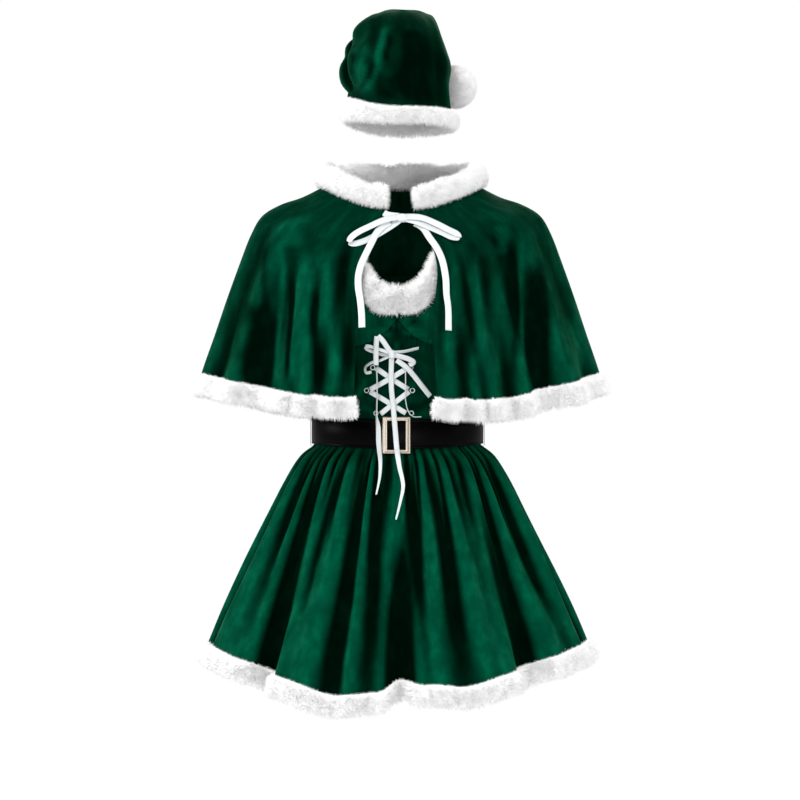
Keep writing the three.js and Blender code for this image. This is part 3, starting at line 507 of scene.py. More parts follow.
# %% Imitation leather, black
PEBBLES = 700.0
leather, tree, shader = new_material("imitation_leather_black_pressed")
place = add_node(tree, "ShaderNodeTexCoord").outputs["Object"]
pebble = add_node(
    tree,
    "ShaderNodeTexVoronoi",
    feature="SMOOTH_F1",
    inputs={"Scale": PEBBLES, "Smoothness": 0.6},
    links={"Vector": place},
)
pressed = bump_from(tree, pebble.outputs["Distance"], 0.18, 0.0003)
tree.links.new(pressed, shader.inputs["Normal"])
shader.inputs["Base Color"].default_value = linear("#020202")
shader.inputs["Roughness"].default_value = 0.34
shader.inputs["Specular IOR Level"].default_value = 0.03
print(leather.name)

# %% [markdown]
# The buckle is cast zinc, plated a pale champagne gold and polished. Casting leaves faint waves.

# %% Plated zinc, champagne
CASTING_WAVES = 160.0
plated, tree, shader = new_material("zinc_plated_champagne_polished")
place = add_node(tree, "ShaderNodeTexCoord").outputs["Object"]
polished = bump_from(tree, noise_at(tree, place, CASTING_WAVES), 0.004, 0.0003)
tree.links.new(polished, shader.inputs["Normal"])
shader.inputs["Base Color"].default_value = linear("#a0968a")
shader.inputs["Metallic"].default_value = 1.0
shader.inputs["Roughness"].default_value = 0.22
print(plated.name)

# %% [markdown]
# Plush is made in two steps: a plain padded body, and locks scattered on it by a Geometry Nodes
# tree. Each lock is a three-sided spike, because at this size only the mass of them shows. Noise
# tilts neighbouring locks together, which gives the clumps that real plush has. Where a strip's
# face turns up, at the edge that is sewn on, the locks can be shortened so that the edge is smooth.


# %% Geometry Nodes tree for plush locks
CLUMPS = 95.0
LOOSE_LEAN = ((-0.34, -0.34, -0.42), (0.34, 0.34, 0.22))
LOCK_SIZES = (0.6, 1.05)
SEWN_FACING = (0.35, 0.8)


def plush_tree():
    """Geometry in, geometry with locks out; every size is a named input."""
    tree = bpy.data.node_groups.new("plush_locks", "GeometryNodeTree")
    face = tree.interface
    face.new_socket(name="Geometry", in_out="INPUT", socket_type="NodeSocketGeometry")
    for name, kind in (
        ("Locks per square metre", "NodeSocketFloat"),
        ("Length", "NodeSocketFloat"),
        ("Width", "NodeSocketFloat"),
        ("Clump tilt", "NodeSocketFloat"),
        ("Length at sewn edge", "NodeSocketFloat"),
        ("Seed", "NodeSocketInt"),
        ("Stuff", "NodeSocketMaterial"),
    ):
        face.new_socket(name=name, in_out="INPUT", socket_type=kind)
    face.new_socket(name="Geometry", in_out="OUTPUT", socket_type="NodeSocketGeometry")
    source = add_node(tree, "NodeGroupInput").outputs
    scattered = add_node(
        tree,
        "GeometryNodeDistributePointsOnFaces",
        links={
            "Mesh": source["Geometry"],
            "Density": source["Locks per square metre"],
            "Seed": source["Seed"],
        },
    )
    lock = add_node(
        tree,
        "GeometryNodeMeshCone",
        fill_type="NONE",
        inputs={"Vertices": 3, "Radius Top": 0.0},
        links={"Radius Bottom": source["Width"], "Depth": source["Length"]},
    )
    clump = add_node(tree, "ShaderNodeTexNoise", inputs={"Scale": CLUMPS, "Detail": 1.0})
    clump_centred = add_node(
        tree,
        "ShaderNodeVectorMath",
        operation="SUBTRACT",
        inputs={1: (0.5, 0.5, 0.5)},
        links={0: clump.outputs["Color"]},
    )
    clump_tilt = add_node(
        tree,
        "ShaderNodeVectorMath",
        operation="SCALE",
        links={0: clump_centred.outputs["Vector"], "Scale": source["Clump tilt"]},
    )
    loose = add_node(
        tree,
        "FunctionNodeRandomValue",
        data_type="FLOAT_VECTOR",
        inputs=dict(enumerate(LOOSE_LEAN)),
        links={"Seed": source["Seed"]},
    )
    tilt = add_node(
        tree,
        "ShaderNodeVectorMath",
        operation="ADD",
        links={0: clump_tilt.outputs["Vector"], 1: loose.outputs[0]},
    )
    direction = add_node(
        tree,
        "ShaderNodeVectorMath",
        operation="ADD",
        links={0: scattered.outputs["Normal"], 1: tilt.outputs["Vector"]},
    )
    turned = add_node(
        tree, "FunctionNodeAlignRotationToVector", axis="Z", links={"Vector": direction.outputs["Vector"]}
    )
    size = add_node(
        tree,
        "FunctionNodeRandomValue",
        data_type="FLOAT",
        inputs={2: LOCK_SIZES[0], 3: LOCK_SIZES[1]},
        links={"Seed": source["Seed"]},
    )
    facing = add_node(tree, "ShaderNodeSeparateXYZ", links={"Vector": scattered.outputs["Normal"]})
    sewn_down = add_node(
        tree,
        "ShaderNodeMapRange",
        inputs={"From Min": SEWN_FACING[0], "From Max": SEWN_FACING[1], "To Min": 1.0},
        links={"Value": facing.outputs["Z"], "To Max": source["Length at sewn edge"]},
    )
    trimmed = add_node(
        tree,
        "ShaderNodeMath",
        operation="MULTIPLY",
        links={0: size.outputs[1], 1: sewn_down.outputs["Result"]},
    )
    placed = add_node(
        tree,
        "GeometryNodeInstanceOnPoints",
        links={
            "Points": scattered.outputs["Points"],
            "Instance": lock.outputs["Mesh"],
            "Rotation": turned.outputs["Rotation"],
            "Scale": trimmed.outputs["Value"],
        },
    )
    real = add_node(tree, "GeometryNodeRealizeInstances", links={"Geometry": placed.outputs["Instances"]})
    joined = add_node(tree, "GeometryNodeJoinGeometry")
    for part in (real.outputs["Geometry"], source["Geometry"]):
        tree.links.new(part, joined.inputs["Geometry"])
    smooth = add_node(tree, "GeometryNodeSetShadeSmooth", links={"Geometry": joined.outputs["Geometry"]})
    finished = add_node(
        tree,
        "GeometryNodeSetMaterial",
        links={"Geometry": smooth.outputs["Geometry"], "Material": source["Stuff"]},
    )
    add_node(tree, "NodeGroupOutput", links={"Geometry": finished.outputs["Geometry"]})
    return tree


LOCKS = plush_tree()
LOCK_TRIANGLES = 3
QUICK_SHARE = 1.0
QUICK_WIDER = 1.0


def surface_area(obj):
    return sum(polygon.area for polygon in obj.data.polygons)


def fluffy(body, triangles, length=9.0, width=0.8, tilt=1.6, sewn=1.0, seed=1):
    """The plush body with its locks, as one plain mesh; triangles is the budget for the locks."""
    wanted = triangles * QUICK_SHARE / LOCK_TRIANGLES
    modifier = body.modifiers.new("locks", "NODES")
    modifier.node_group = LOCKS
    values = {
        "Locks per square metre": wanted / surface_area(body),
        "Length": length * MM,
        "Width": width * MM * QUICK_WIDER,
        "Clump tilt": tilt,
        "Length at sewn edge": sewn,
        "Seed": seed,
        "Stuff": plush,
    }
    for item in LOCKS.interface.items_tree:
        if item.in_out == "INPUT" and item.name in values:
            modifier[item.identifier] = values[item.name]
    bpy.context.view_layer.update()
    evaluated = body.evaluated_get(bpy.context.evaluated_depsgraph_get())
    finished = bpy.data.meshes.new_from_object(evaluated)
    body.modifiers.remove(modifier)
    finished.name = body.name
    body.data = finished
    return body


print("lock tree has", len(LOCKS.nodes), "nodes")

# %% [markdown]
# The dress hangs on a general figure: level ellipses, fuller at the bust, narrow at the waist. The
# cups stand out in front of it. The velvet pulls into small gathers beside the centre of each cup.

# %% Sizes and sections of the dress
VELVET_WALL = 2.0
SEAM_GAP = 0.3
UNDER_TRIM = 0.25
DRESS_CENTRE = -3.5
TORSO = table("height halfWidth front back", [
    [-372, 115.2, 86, 86],
    [-350, 115.2, 85.5, 85.5],
    [-335, 116.4, 86.9, 86.4],
    [-318, 117.2, 87.8, 86.8],
    [-290, 120, 90.5, 87.5],
    [-250, 127, 97, 90.5],
    [-215, 134, 105, 94],
    [-180, 140, 111, 97],
    [-140, 141, 105, 96],
    [-100, 136, 93, 89],
    [-60, 118, 78, 74],
])
CUP = {"angle": 24, "spread": 17, "height": -178, "rise": 34, "depth": 9}
NECK_TRIM = table("angle upper lower", [
    [0, -141, -174],
    [2, -139, -179],
    [7, -137, -178],
    [11, -131, -177],
    [15, -119, -170],
    [19, -104, -159],
    [23, -88, -143],
    [27, -74, -126],
    [30, -64, -114],
])
BODICE_TOP = table("angle height", [
    [30, -114],
    [54, -114],
    [70, -123],
    [90, -130],
    [110, -123],
    [126, -114],
    [150, -114],
    [180, -116],
])
CUP_SEAM = table("angle height", [
    [0, -184],
    [5, -198],
    [10, -208],
    [18, -217],
    [35, -224],
    [60, -226],
    [90, -222],
])
SKIRT = table("row side front back halfWidth frontDepth backDepth gather fold lobe", [
    [0, -349, -354, -349, 115.2, 85.5, 85.5, 0.8, 0, 0],
    [1, -357, -363, -357, 116.2, 86.8, 86.6, 0.9, 0.2, 0],
    [2, -375, -383, -376, 135, 101, 99, 2.4, 2, 0.02],
    [3, -409, -421, -411, 154, 118, 115, 2, 5.6, 0.1],
    [4, -455, -472, -459, 175, 136, 133, 0.8, 8, 0.25],
    [5, -506, -529, -514, 198, 156, 152, 0, 8.8, 0.45],
    [6, -552, -584, -567, 219, 175, 171, 0, 8, 0.66],
    [7, -594, -633, -620, 239, 193, 188, 0, 6.4, 0.85],
    [8, -627, -676, -664, 254, 207, 202, 0, 5, 0.97],
    [9, -660, -709, -697, 268, 217, 212, 0, 4, 1],
])
SKIRT_TRIM_ROW = 8
SKIRT_HEM_ROW = 9
GATHERS = 52
HEM_LOBES = table("angle out lift", [
    [-180, 12, 0],
    [-158, -10, 7],
    [-132, 14, 0],
    [-108, -12, 7],
    [-82, 6, 0],
    [-62, 6, 2],
    [-46, -40, 8],
    [-36, 14, 0],
    [-18, 13, -8],
    [-6, 4, 3],
    [1, -34, 27],
    [8, 6, 12],
    [21, 13, 2],
    [35, 13, 7],
    [45, -38, 14],
    [60, 6, 6],
    [80, 8, 2],
    [104, -12, 7],
    [128, 14, 0],
    [155, -10, 7],
])


# Bodice creases seen from the front: small gathers between and under the cups, and soft drag lines
# over the midriff
BODICE_CREASES = table(CREASE_COLUMNS, [
    [-6, -196, -22, -176, 2.6, 1.1],
    [-6, -200, -30, -190, 2.4, -1.0],
    [-8, -206, -36, -203, 2.6, 1.0],
    [0, -196, 14, -174, 2.6, 1.2],
    [0, -200, 24, -184, 2.2, -1.1],
    [2, -204, 32, -197, 2.6, 1.1],
    [4, -210, 40, -210, 2.4, -0.9],
    [-5, -212, -1, -245, 3.0, 1.0],
    [2, -214, 8, -250, 2.6, -0.9],
    [-10, -214, -12, -240, 2.4, -0.8],
    [8, -282, 34, -262, 5.0, 1.2],
    [6, -306, 44, -296, 6.0, -1.3],
    [14, -316, 40, -312, 4.0, 1.2],
    [-46, -262, -58, -296, 5.0, 1.2],
    [-60, -240, -66, -286, 5.0, -1.2],
    [-20, -318, -60, -300, 5.0, 1.0],
    [54, -238, 70, -300, 6.0, -1.2],
    [70, -230, 88, -290, 6.0, 1.2],
    [-78, -230, -88, -296, 6.0, 1.1],
])
BACK_CREASES = table(CREASE_COLUMNS, [
    [-30, -190, -52, -300, 6.0, -1.4],
    [24, -180, 44, -290, 6.0, -1.3],
    [-8, -220, -12, -320, 5.0, 1.3],
    [60, -200, 76, -310, 6.0, 1.2],
    [-70, -200, -88, -300, 6.0, 1.2],
    [0, -150, 10, -210, 5.0, -1.0],
])
print(len(TORSO["height"]), "torso sections,", len(SKIRT["row"]), "skirt sections")


# %% Dress surfaces
def bell(distance):
    return np.exp(-distance * distance)


def torso_base(angle, drop):
    row = row_at(TORSO, -drop)
    return ellipse_at(DRESS_CENTRE, row["halfWidth"], row["front"], row["back"], angle, -drop)


def cup_out(angle, drop):
    turned = (np.asarray(angle) + 180) % 360 - 180
    across = bell((np.abs(turned) - CUP["angle"]) / CUP["spread"])
    return CUP["depth"] * across * bell((-drop - CUP["height"]) / CUP["rise"])


def torso_relief(angle, drop):
    at = torso_base(angle, drop)
    out = cup_out(angle, drop) + creases_at(BODICE_CREASES, at, -1) + creases_at(BACK_CREASES, at, 1)
    return out, 0 * out


torso_point = surface_of(torso_base, torso_relief, normal_of(torso_base, 0.5, 0.5))


def height_at(rows, angle, name="height"):
    return row_at(rows, np.abs(angle))[name]


def bodice_top(angle):
    turned = np.abs((np.asarray(angle, dtype=float) + 180) % 360 - 180)
    inside = turned < BODICE_TOP["angle"][0]
    edge = np.where(inside, height_at(NECK_TRIM, turned, "lower"), height_at(BODICE_TOP, turned))
    return edge - SEAM_GAP


SKIRT_TOP = {name: column[0] for name, column in SKIRT.items()}


def waist_height(angle):
    return ring_height(SKIRT_TOP, angle) + SEAM_GAP


def gather_angle(gather):
    """Degrees round the skirt for a count of gathers, which are not quite even."""
    turn = 2 * np.pi * gather / GATHERS
    return 360 * (gather + 0.22 * np.sin(11 * turn) + 0.14 * np.sin(17 * turn + 1)) / GATHERS


def skirt_base(gather, v):
    row = row_at(SKIRT, v)
    angle = gather_angle(gather)
    height = ring_height(row, angle)
    return ellipse_at(DRESS_CENTRE, row["halfWidth"], row["frontDepth"], row["backDepth"], angle, height)


# Longer creases on the skirt: each begins at the waist or halfway down and fades at its own height
SKIRT_CREASES = table(CREASE_COLUMNS, [
    [-92, -372, -128, -520, 3.6, 1.53],
    [-80, -370, -100, -560, 4.8, -1.7],
    [-62, -372, -84, -470, 3.1, 1.53],
    [-54, -368, -74, -620, 4.8, 1.36],
    [-40, -372, -52, -440, 2.9, -1.53],
    [-22, -372, -26, -530, 3.6, 1.53],
    [-10, -372, -12, -470, 2.9, -1.53],
    [6, -374, 4, -600, 4.8, -1.87],
    [20, -372, 24, -470, 3.1, 1.53],
    [32, -370, 44, -560, 3.6, -1.53],
    [48, -370, 64, -500, 3.1, 1.53],
    [60, -368, 88, -610, 4.8, 1.53],
    [76, -368, 104, -480, 3.1, -1.36],
    [88, -366, 128, -560, 4.1, 1.53],
    [-150, -540, -176, -620, 7.2, 1.36],
    [140, -520, 170, -610, 7.2, -1.36],
    [-110, -480, -134, -600, 6, -1.53],
    [-64, -560, -72, -660, 6, 1.36],
    [50, -560, 58, -660, 6, -1.53],
    [100, -560, 118, -640, 6, 1.36],
])


def skirt_relief(gather, v):
    """Gathers at the waist merge two by two into folds, and the folds into the hem's lobes."""
    row = row_at(SKIRT, v)
    angle = gather_angle(gather)
    turn = 2 * np.pi * gather / GATHERS
    crest = np.cos(2 * np.pi * gather)
    sharper = crest - 0.25 * np.cos(4 * np.pi * gather)
    gathered = row["gather"] * (0.75 + 0.25 * np.sin(7 * turn + 0.6)) * sharper
    uneven = 0.66 + 0.22 * np.sin(5 * turn + 2) + 0.16 * np.sin(11 * turn + 1)
    folded = row["fold"] * uneven * np.cos(np.pi * gather)
    # Fine ripples just under the belt, and broad slack waves halfway down
    fine = 0.7 * np.sin(2 * np.pi * 1.62 * gather + 1.5 * np.sin(3 * turn)) * bell((v - 2.6) / 1.8)
    slack = 2.0 * np.sin(2 * np.pi * 0.37 * gather + 0.8 * v) * bell((v - 5.8) / 2.2)
    drawn = creases_round(SKIRT_CREASES, skirt_base(gather, v))
    out = gathered + folded + fine + slack + drawn + row["lobe"] * wave_at(HEM_LOBES, angle, "out")
    return out, row["lobe"] * wave_at(HEM_LOBES, angle, "lift")


skirt_point = surface_of(skirt_base, skirt_relief, normal_of(skirt_base, 0.05, 0.02))
print("waist seam height at the front", round(float(waist_height(0)), 1), "mm")

# %% [markdown]
# The bodice has two cups, a midriff panel under them and a back. The seam under the cups dips from
# the centre to the sides. A line of small pulls beside the seam makes it read as sewn.


# %% Bodice panels
SEAM_PULL = 0.35
PULLS = 2.1
PULL_ROWS = 5
EDGE_ROLL = 0.7
ROLL_ROWS = 1.6


def near_seams(share, rows, reach):
    """1 at a panel's upper and lower seam, fading over about this many rows."""
    return bell(share * rows / reach) + bell((1 - share) * rows / reach)


def bodice_panel(name, from_angle, to_angle, upper, lower, columns, rows):
    """A panel between two angles and two heights, with its seams pulled and rolled in."""
    angles = np.linspace(from_angle, to_angle, columns)[None, :]
    share = np.linspace(0, 1, rows)[:, None]
    height = mix(upper(angles), lower(angles), share)
    pulls = SEAM_PULL * np.sin(angles * PULLS) * near_seams(share, rows, PULL_ROWS)
    rolled = -EDGE_ROLL * near_seams(share, rows, ROLL_ROWS)
    outer = torso_point(angles, -height, 0.5 + pulls + rolled)
    inner = torso_point(angles, -height, -VELVET_WALL + 0.6)
    return shell(name, outer, inner, velvet)


def over_seam(angle):
    return height_at(CUP_SEAM, angle) + SEAM_GAP / 2


def under_seam(angle):
    return height_at(CUP_SEAM, angle) - SEAM_GAP / 2


SEAM_ANGLE = 0.08
cups = {}
for side, name in ((-1, "left"), (1, "right")):
    ends = (side * SEAM_ANGLE, side * (90 - SEAM_ANGLE))
    cups[name] = bodice_panel("velvet_cup_" + name, *ends, bodice_top, over_seam, 70, 34)
    stands_for(cups[name], "bodice_cup_" + name)

ends = (-90 + SEAM_ANGLE, 90 - SEAM_ANGLE)
midriff = bodice_panel("velvet_midriff", *ends, under_seam, waist_height, 150, 44)
stands_for(midriff, "bodice_front")
ends = (90 + SEAM_ANGLE, 270 - SEAM_ANGLE)
dress_back = bodice_panel("velvet_dress_back", *ends, bodice_top, waist_height, 110, 50)
stands_for(dress_back, "bodice_back")

# %% [markdown]
# The skirt is two wide panels drawn up into fifty-two gathers at the belt. Going down, gathers join
# into folds and the folds open into big lobes at the hem, which the plush weighs down.

# %% Skirt panels
QUARTER = GATHERS / 4
SKIRT_ENDS = {"front": (-QUARTER, QUARTER), "back": (QUARTER, 3 * QUARTER)}
SKIRT_COLUMNS = GATHERS // 2 * 8 + 1
SKIRT_END = SKIRT_TRIM_ROW + UNDER_TRIM
skirts = {}
# The skirt's folds paint their shade and highlight more strongly near the waist than lower down.
for name, (start, end) in SKIRT_ENDS.items():
    gathers = np.linspace(start, end, SKIRT_COLUMNS)[None, :]
    down = np.concatenate([np.linspace(0, 2, 14)[:-1], np.linspace(2, SKIRT_END, 30)])[:, None]
    outer = skirt_point(gathers, down, 0.4)
    inner = skirt_point(gathers, down, -VELVET_WALL + 0.7)
    gain = mix(1.2, 0.5, np.clip(down / 5, 0, 1))
    skirts[name] = shell("velvet_skirt_" + name, outer, inner, velvet, crest_gain=gain)
    stands_for(skirts[name], "skirt_" + name)

# %% [markdown]
# The cape is cut in three: two fronts and a back, joined at the shoulders' side lines. It stands off
# the arms and falls in uneven folds. Its front edges are rolled under, with a soft ridge inside them.

# %% Sizes and sections of the cape
CAPE_CENTRE = 2.0
CAPE = table("row side front back halfWidth frontDepth backDepth leftEdge rightEdge", [
    [0, 4, -34, 8, 109, 72, 62, -21, 18],
    [1, -11, -62, -8, 139, 88, 88, -35, 30],
    [2, -21, -92, -34, 168, 104, 108, -48, 43],
    [3, -37, -124, -66, 194, 120, 121, -57, 49],
    [4, -63, -155, -100, 209, 132, 129, -60, 47],
    [5, -98, -187, -140, 222, 140, 134, -61, 45],
    [6, -150, -224, -190, 240, 147, 139, -61, 45],
    [7, -206, -262, -244, 258, 153, 145, -61, 47],
    [8, -252, -291, -298, 273, 158, 151, -61, 49],
    [9, -288, -325, -334, 282, 162, 155, -60, 44],
])
CAPE_TRIM_ROW = 8
CAPE_HEM_ROW = 9
CAPE_SIDE_SEAM = 0.51
CAPE_FOLD_GROWTH = 1.4
CAPE_FOLDS = table("angle out lift", [
    [-180, 10, 0],
    [-158, -9, 3],
    [-140, 10, 0],
    [-122, -10, 3],
    [-105, 7, 0],
    [-90, -3, 0],
    [-78, 7, 0],
    [-66, -6, 1],
    [-56, 9, 0],
    [-44, -12, 3],
    [-34, 4, 0],
    [-31.5, 0, 0],
    [-28, 6, -2],
    [-24, -3, 2],
    [-20, 4, 0],
    [-16, -2, 2],
    [-12, 0, 4],
    [10, 0, 4],
    [15, 5, -2],
    [18.5, -3, 0],
    [22, 6, -6],
    [24.5, -1, -6],
    [27, 7, -7],
    [33, -7, -7],
    [38, 3, -7],
    [44, -13, -1],
    [57, 12, -4],
    [70, -6, 0],
    [82, 6, 0],
    [92, -4, 2],
    [105, 7, 0],
    [122, -10, 3],
    [140, 10, 0],
    [158, -9, 3],
])

# Finer creases between the main folds; the back gets the same ones, mirrored left to right
CAPE_CREASES = table(CREASE_COLUMNS, [
    [-152, -150, -164, -268, 6.4, 1.35],
    [-146, -130, -152, -276, 4.8, -1.35],
    [-132, -90, -128, -284, 8, 1.65],
    [-118, -110, -112, -270, 5.4, -1.35],
    [-102, -90, -88, -272, 6.4, 1.2],
    [-186, -140, -204, -250, 9.6, -1.5],
    [-172, -60, -196, -170, 9.6, 1.2],
    [-76, -60, -72, -230, 6.4, 0.9],
    [-212, -150, -232, -240, 9.6, 1.2],
    [153, -40, 162, -92, 3.8, -1.2],
    [125, -72, 136, -88, 5.4, -1.2],
    [136, -88, 147, -76, 5.4, -1.2],
    [72, -96, 67, -272, 9.6, 1.2],
    [88, -120, 90, -268, 6.4, -1.05],
    [103, -96, 107, -276, 8, 1.2],
    [126, -110, 134, -276, 8, 1.2],
    [145, -132, 157, -276, 5.4, -1.8],
    [176, -110, 200, -270, 9.6, -1.95],
    [160, -150, 176, -270, 6.4, 1.2],
    [222, -166, 254, -252, 9.6, 1.5],
    [206, -140, 232, -262, 6.4, -1.2],
])

# Strokes of painted highlight on the cape, or painted shade where the last number is negative
CAPE_PAINTED_LIGHT = table(CREASE_COLUMNS, [
    [-158, -70, -171, -300, 5, 1.4],
    [-132, -70, -136, -300, 9, 1.6],
    [-138, -110, -142, -290, 3.5, 1.2],
    [-146, -120, -152, -290, 4, -1.5],
    [-124, -100, -126, -300, 3.5, 1.0],
    [-180, -70, -186, -200, 6, -1.0],
    [-106, -80, -86, -290, 8, 1.0],
    [-196, -150, -200, -290, 17, -1.6],
    [-150, -40, -148, -90, 16, 1.3],
    [-74, -60, -72, -290, 9, -1.3],
    [-112, -130, -112, -290, 6, -1.2],
    [74, -60, 70, -280, 8, 0.9],
    [104, -80, 106, -280, 8, 0.8],
    [128, -100, 132, -280, 7, 0.7],
    [154, -60, 156, -270, 6, -1.3],
    [186, -90, 192, -280, 12, -2.0],
    [120, -40, 150, -200, 22, -0.6],
    [84, -60, 90, -280, 22, -0.6],
    [166, -70, 168, -280, 4, 0.9],
    [236, -170, 254, -280, 10, 1.4],
    [136, -50, 142, -100, 9, 1.0],
    [56, -100, 56, -280, 5, -0.9],
])
CAPE_ROLL = {"inset": 9.0, "width": 2.2, "out": 0.9}
print(len(CAPE["row"]), "cape sections,", len(CAPE_FOLDS["angle"]), "folds")


# %% Cape surface
def cape_angle(u, row):
    """u runs from 1 at the right front edge over 0 at the back to -1 at the left front edge."""
    edge_x = np.where(u < 0, -row["leftEdge"], row["rightEdge"])
    edge = np.degrees(np.arcsin(edge_x / row["halfWidth"]))
    return np.where(u < 0, -1, 1) * (180 - np.abs(u) * (180 - edge))


def cape_base(u, v):
    row = row_at(CAPE, v)
    angle = cape_angle(u, row)
    centre = CAPE_CENTRE * (1 - v / CAPE_HEM_ROW)
    height = ring_height(row, angle)
    return ellipse_at(centre, row["halfWidth"], row["frontDepth"], row["backDepth"], angle, height)


def cape_relief(u, v):
    row = row_at(CAPE, v)
    angle = cape_angle(u, row)
    grown = np.maximum(v / CAPE_HEM_ROW, 0) ** CAPE_FOLD_GROWTH
    drawn = creases_round(CAPE_CREASES, cape_base(u, v))
    out = grown * wave_at(CAPE_FOLDS, angle, "out") + drawn
    return out, grown * wave_at(CAPE_FOLDS, angle, "lift")


cape_normal = normal_of(cape_base, -0.003, 0.02)
cape_point = surface_of(cape_base, cape_relief, cape_normal)


def cape_roll(u, v):
    """The ridge of the rolled front edge, a few millimetres inside it."""
    row = row_at(CAPE, v)
    inset = (1 - np.abs(u)) * np.pi * row["halfWidth"] * 0.75
    ridge = CAPE_ROLL["out"] * bell((inset - CAPE_ROLL["inset"]) / CAPE_ROLL["width"])
    return ridge - 0.6 * bell(inset / 1.2)


# %% Cape panels
CAPE_END = CAPE_TRIM_ROW + UNDER_TRIM
CAPE_PANELS = {
    "right": (1, CAPE_SIDE_SEAM, 120),
    "back": (CAPE_SIDE_SEAM, -CAPE_SIDE_SEAM, 90),
    "left": (-CAPE_SIDE_SEAM, -1, 120),
}
capes = {}
# Each cape panel paints shade and highlight faintly from its folds and strongly from its listed strokes.
for name, (start, end, columns) in CAPE_PANELS.items():
    around = np.linspace(start, end, columns)[None, :]
    down = np.linspace(0, CAPE_END, 62)[:, None]
    outer = cape_point(around, down, 0.3 + cape_roll(around, down))
    inner = cape_point(around, down, -VELVET_WALL + 0.7)
    nap_and_painted_light = creases_round(CAPE_PAINTED_LIGHT, cape_base(around, down))
    capes[name] = shell("velvet_cape_" + name, outer, inner, velvet, crest_gain=0.34, nap_and_painted_light=1.4 * nap_and_painted_light)
    stands_for(capes[name], "cape_back" if name == "back" else "cape_front_" + name)

# %% [markdown]
# The hat is one cone of velvet. It is pulled on, folds over at the back and drops its point beside
# the head. Rings from the tip over the crown to the brim give that form; a few diagonal creases and a
# sharp front layer complete it.

# %% Sections and creases of the hat
HAT = table("row frontY frontZ backY backZ left right leftRise rightRise relief", [
    [0, 98.8, 170, 89.8, 172, 60, 69, 0, 0, 0],
    [1, 118, 184, 96, 187, 46, 72, 0, 0, 0],
    [2, 128, 202, 97, 199, 26, 67, 0, 0, 0.2],
    [3, 132, 224, 98, 208, 2, 60, 0, 4, 0.4],
    [4, 118, 245, 97, 212, -26, 53, 0, 11, 0.5],
    [5, 84, 255, 94, 209, -42, 50, 0, 16, 0.6],
    [6, 45, 258, 91, 200, -52, 49, 0, 16, 0.7],
    [7, 10, 254, 89, 189, -63, 53, 0, 11, 0.8],
    [8, -22, 240, 87, 177, -73, 58, 0, 5, 0.9],
    [9, -44, 217, 87, 166, -74, 65, 0, 0, 1],
    [10, -62, 191, 87, 154, -81, 69, 2, 2, 1],
    [11, -75, 161, 88, 140, -79, 66, 5, 0, 1],
    [12, -84, 132, 89, 125, -71, 68, 12, 0, 0.6],
    [13, -89, 109, 90, 110, -73, 71, 21, 1, 0.2],
    [14, -92, 83, 93, 86, -76, 75, 9, 1, 0],
])
HAT_BODY_ROW = 5
HAT_TRIM_ROW = 13
HAT_HEM_ROW = 14
HAT_FOLDS = table("angle out", [
    [-180, 3],
    [-150, -3],
    [-118, 4],
    [-98, 5],
    [-78, -8],
    [-58, 1],
    [-38, 0.5],
    [-26, -1],
    [-12, 0.5],
    [10, -0.5],
    [32, 0.5],
    [52, -1.5],
    [74, 1],
    [100, 3],
    [130, -3],
    [155, 3],
])

# Strokes of painted highlight and painted shade on the hat, and then its diagonal creases
HAT_PAINTED_LIGHT = table(CREASE_COLUMNS, [
    [-50, 205, -54, 118, 13, 0.9],
    [-16, 228, -30, 160, 7, 1.3],
    [24, 226, 28, 100, 26, -1.9],
    [60, 190, 66, 110, 9, -1.4],
    [-8, 150, -10, 110, 14, -0.8],
    [-21, 222, -29, 176, 3.5, 1.6],
    [-28, 186, -38, 148, 3.5, 1.3],
    [-14, 215, -20, 165, 4, -1.2],
    [-23, 168, -50, 126, 3.5, 1.5],
    [-42, 168, -62, 134, 3.5, 1.1],
    [-34, 168, -56, 130, 4, -1.0],
    [-64, 190, -66, 150, 4, -1.2],
])
HAT_CREASES = table(CREASE_COLUMNS, [
    [-24, 212, -34, 164, 6, 1.95],
    [-18, 214, -26, 168, 4.5, -1.65],
    [-52, 186, -40, 160, 5.1, -1.35],
    [-56, 168, -44, 146, 4.5, 1.35],
    [-40, 214, -60, 150, 7.5, 1.2],
    [2, 222, -4, 140, 9, 1.2],
    [16, 220, 20, 150, 7.5, -1.5],
    [34, 214, 44, 134, 9, 1.35],
    [48, 190, 54, 128, 6, -1.35],
    [-30, 150, -24, 118, 6, -1.05],
    [-62, 150, -58, 116, 6, -1.5],
    [-6, 136, 6, 114, 6, 0.9],
])


def hat_base(angle, v):
    row = row_at(HAT, v)
    turn = np.radians(angle)
    across = np.sin(turn)
    ahead = (1 + np.cos(turn)) / 2
    centre = (row["left"] + row["right"]) / 2
    rise = np.where(across > 0, row["rightRise"], row["leftRise"]) * across**2
    x = centre + (row["right"] - row["left"]) / 2 * across
    y = mix(row["backY"], row["frontY"], ahead)
    return np.stack([x, y, mix(row["backZ"], row["frontZ"], ahead) + rise], axis=-1)


def hat_relief(angle, v):
    drawn = creases_round(HAT_CREASES, hat_base(angle, v)) * np.clip(v / HAT_BODY_ROW, 0, 1)
    return row_at(HAT, v)["relief"] * wave_at(HAT_FOLDS, angle, "out") + drawn, 0 * drawn


hat_point = surface_of(hat_base, hat_relief, normal_of(hat_base, 0.5, 0.02))
around = np.linspace(-180, 180, 145)[None, 1:]
down = np.linspace(0, HAT_TRIM_ROW + UNDER_TRIM, 68)[:, None]
# The hat's strokes of painted light and shade, with its painted light set a little lower all over.
nap_and_painted_light = creases_round(HAT_PAINTED_LIGHT, hat_base(around, down))
outer = hat_point(around, down, 0.4)
inner = hat_point(around, down, -VELVET_WALL + 0.8)
hat_cloth = shell("velvet_hat", outer, inner, velvet, closed=True, crest_gain=0.35, nap_and_painted_light=nap_and_painted_light - 0.6)
stands_for(hat_cloth, "hat_body")

# %% [markdown]
# Every hem has a plush strip, sewn on folded, about 33 mm deep. Its section is a padded loop round
# the cloth's edge. The body is made a little thin, and the locks bring it to its full size.

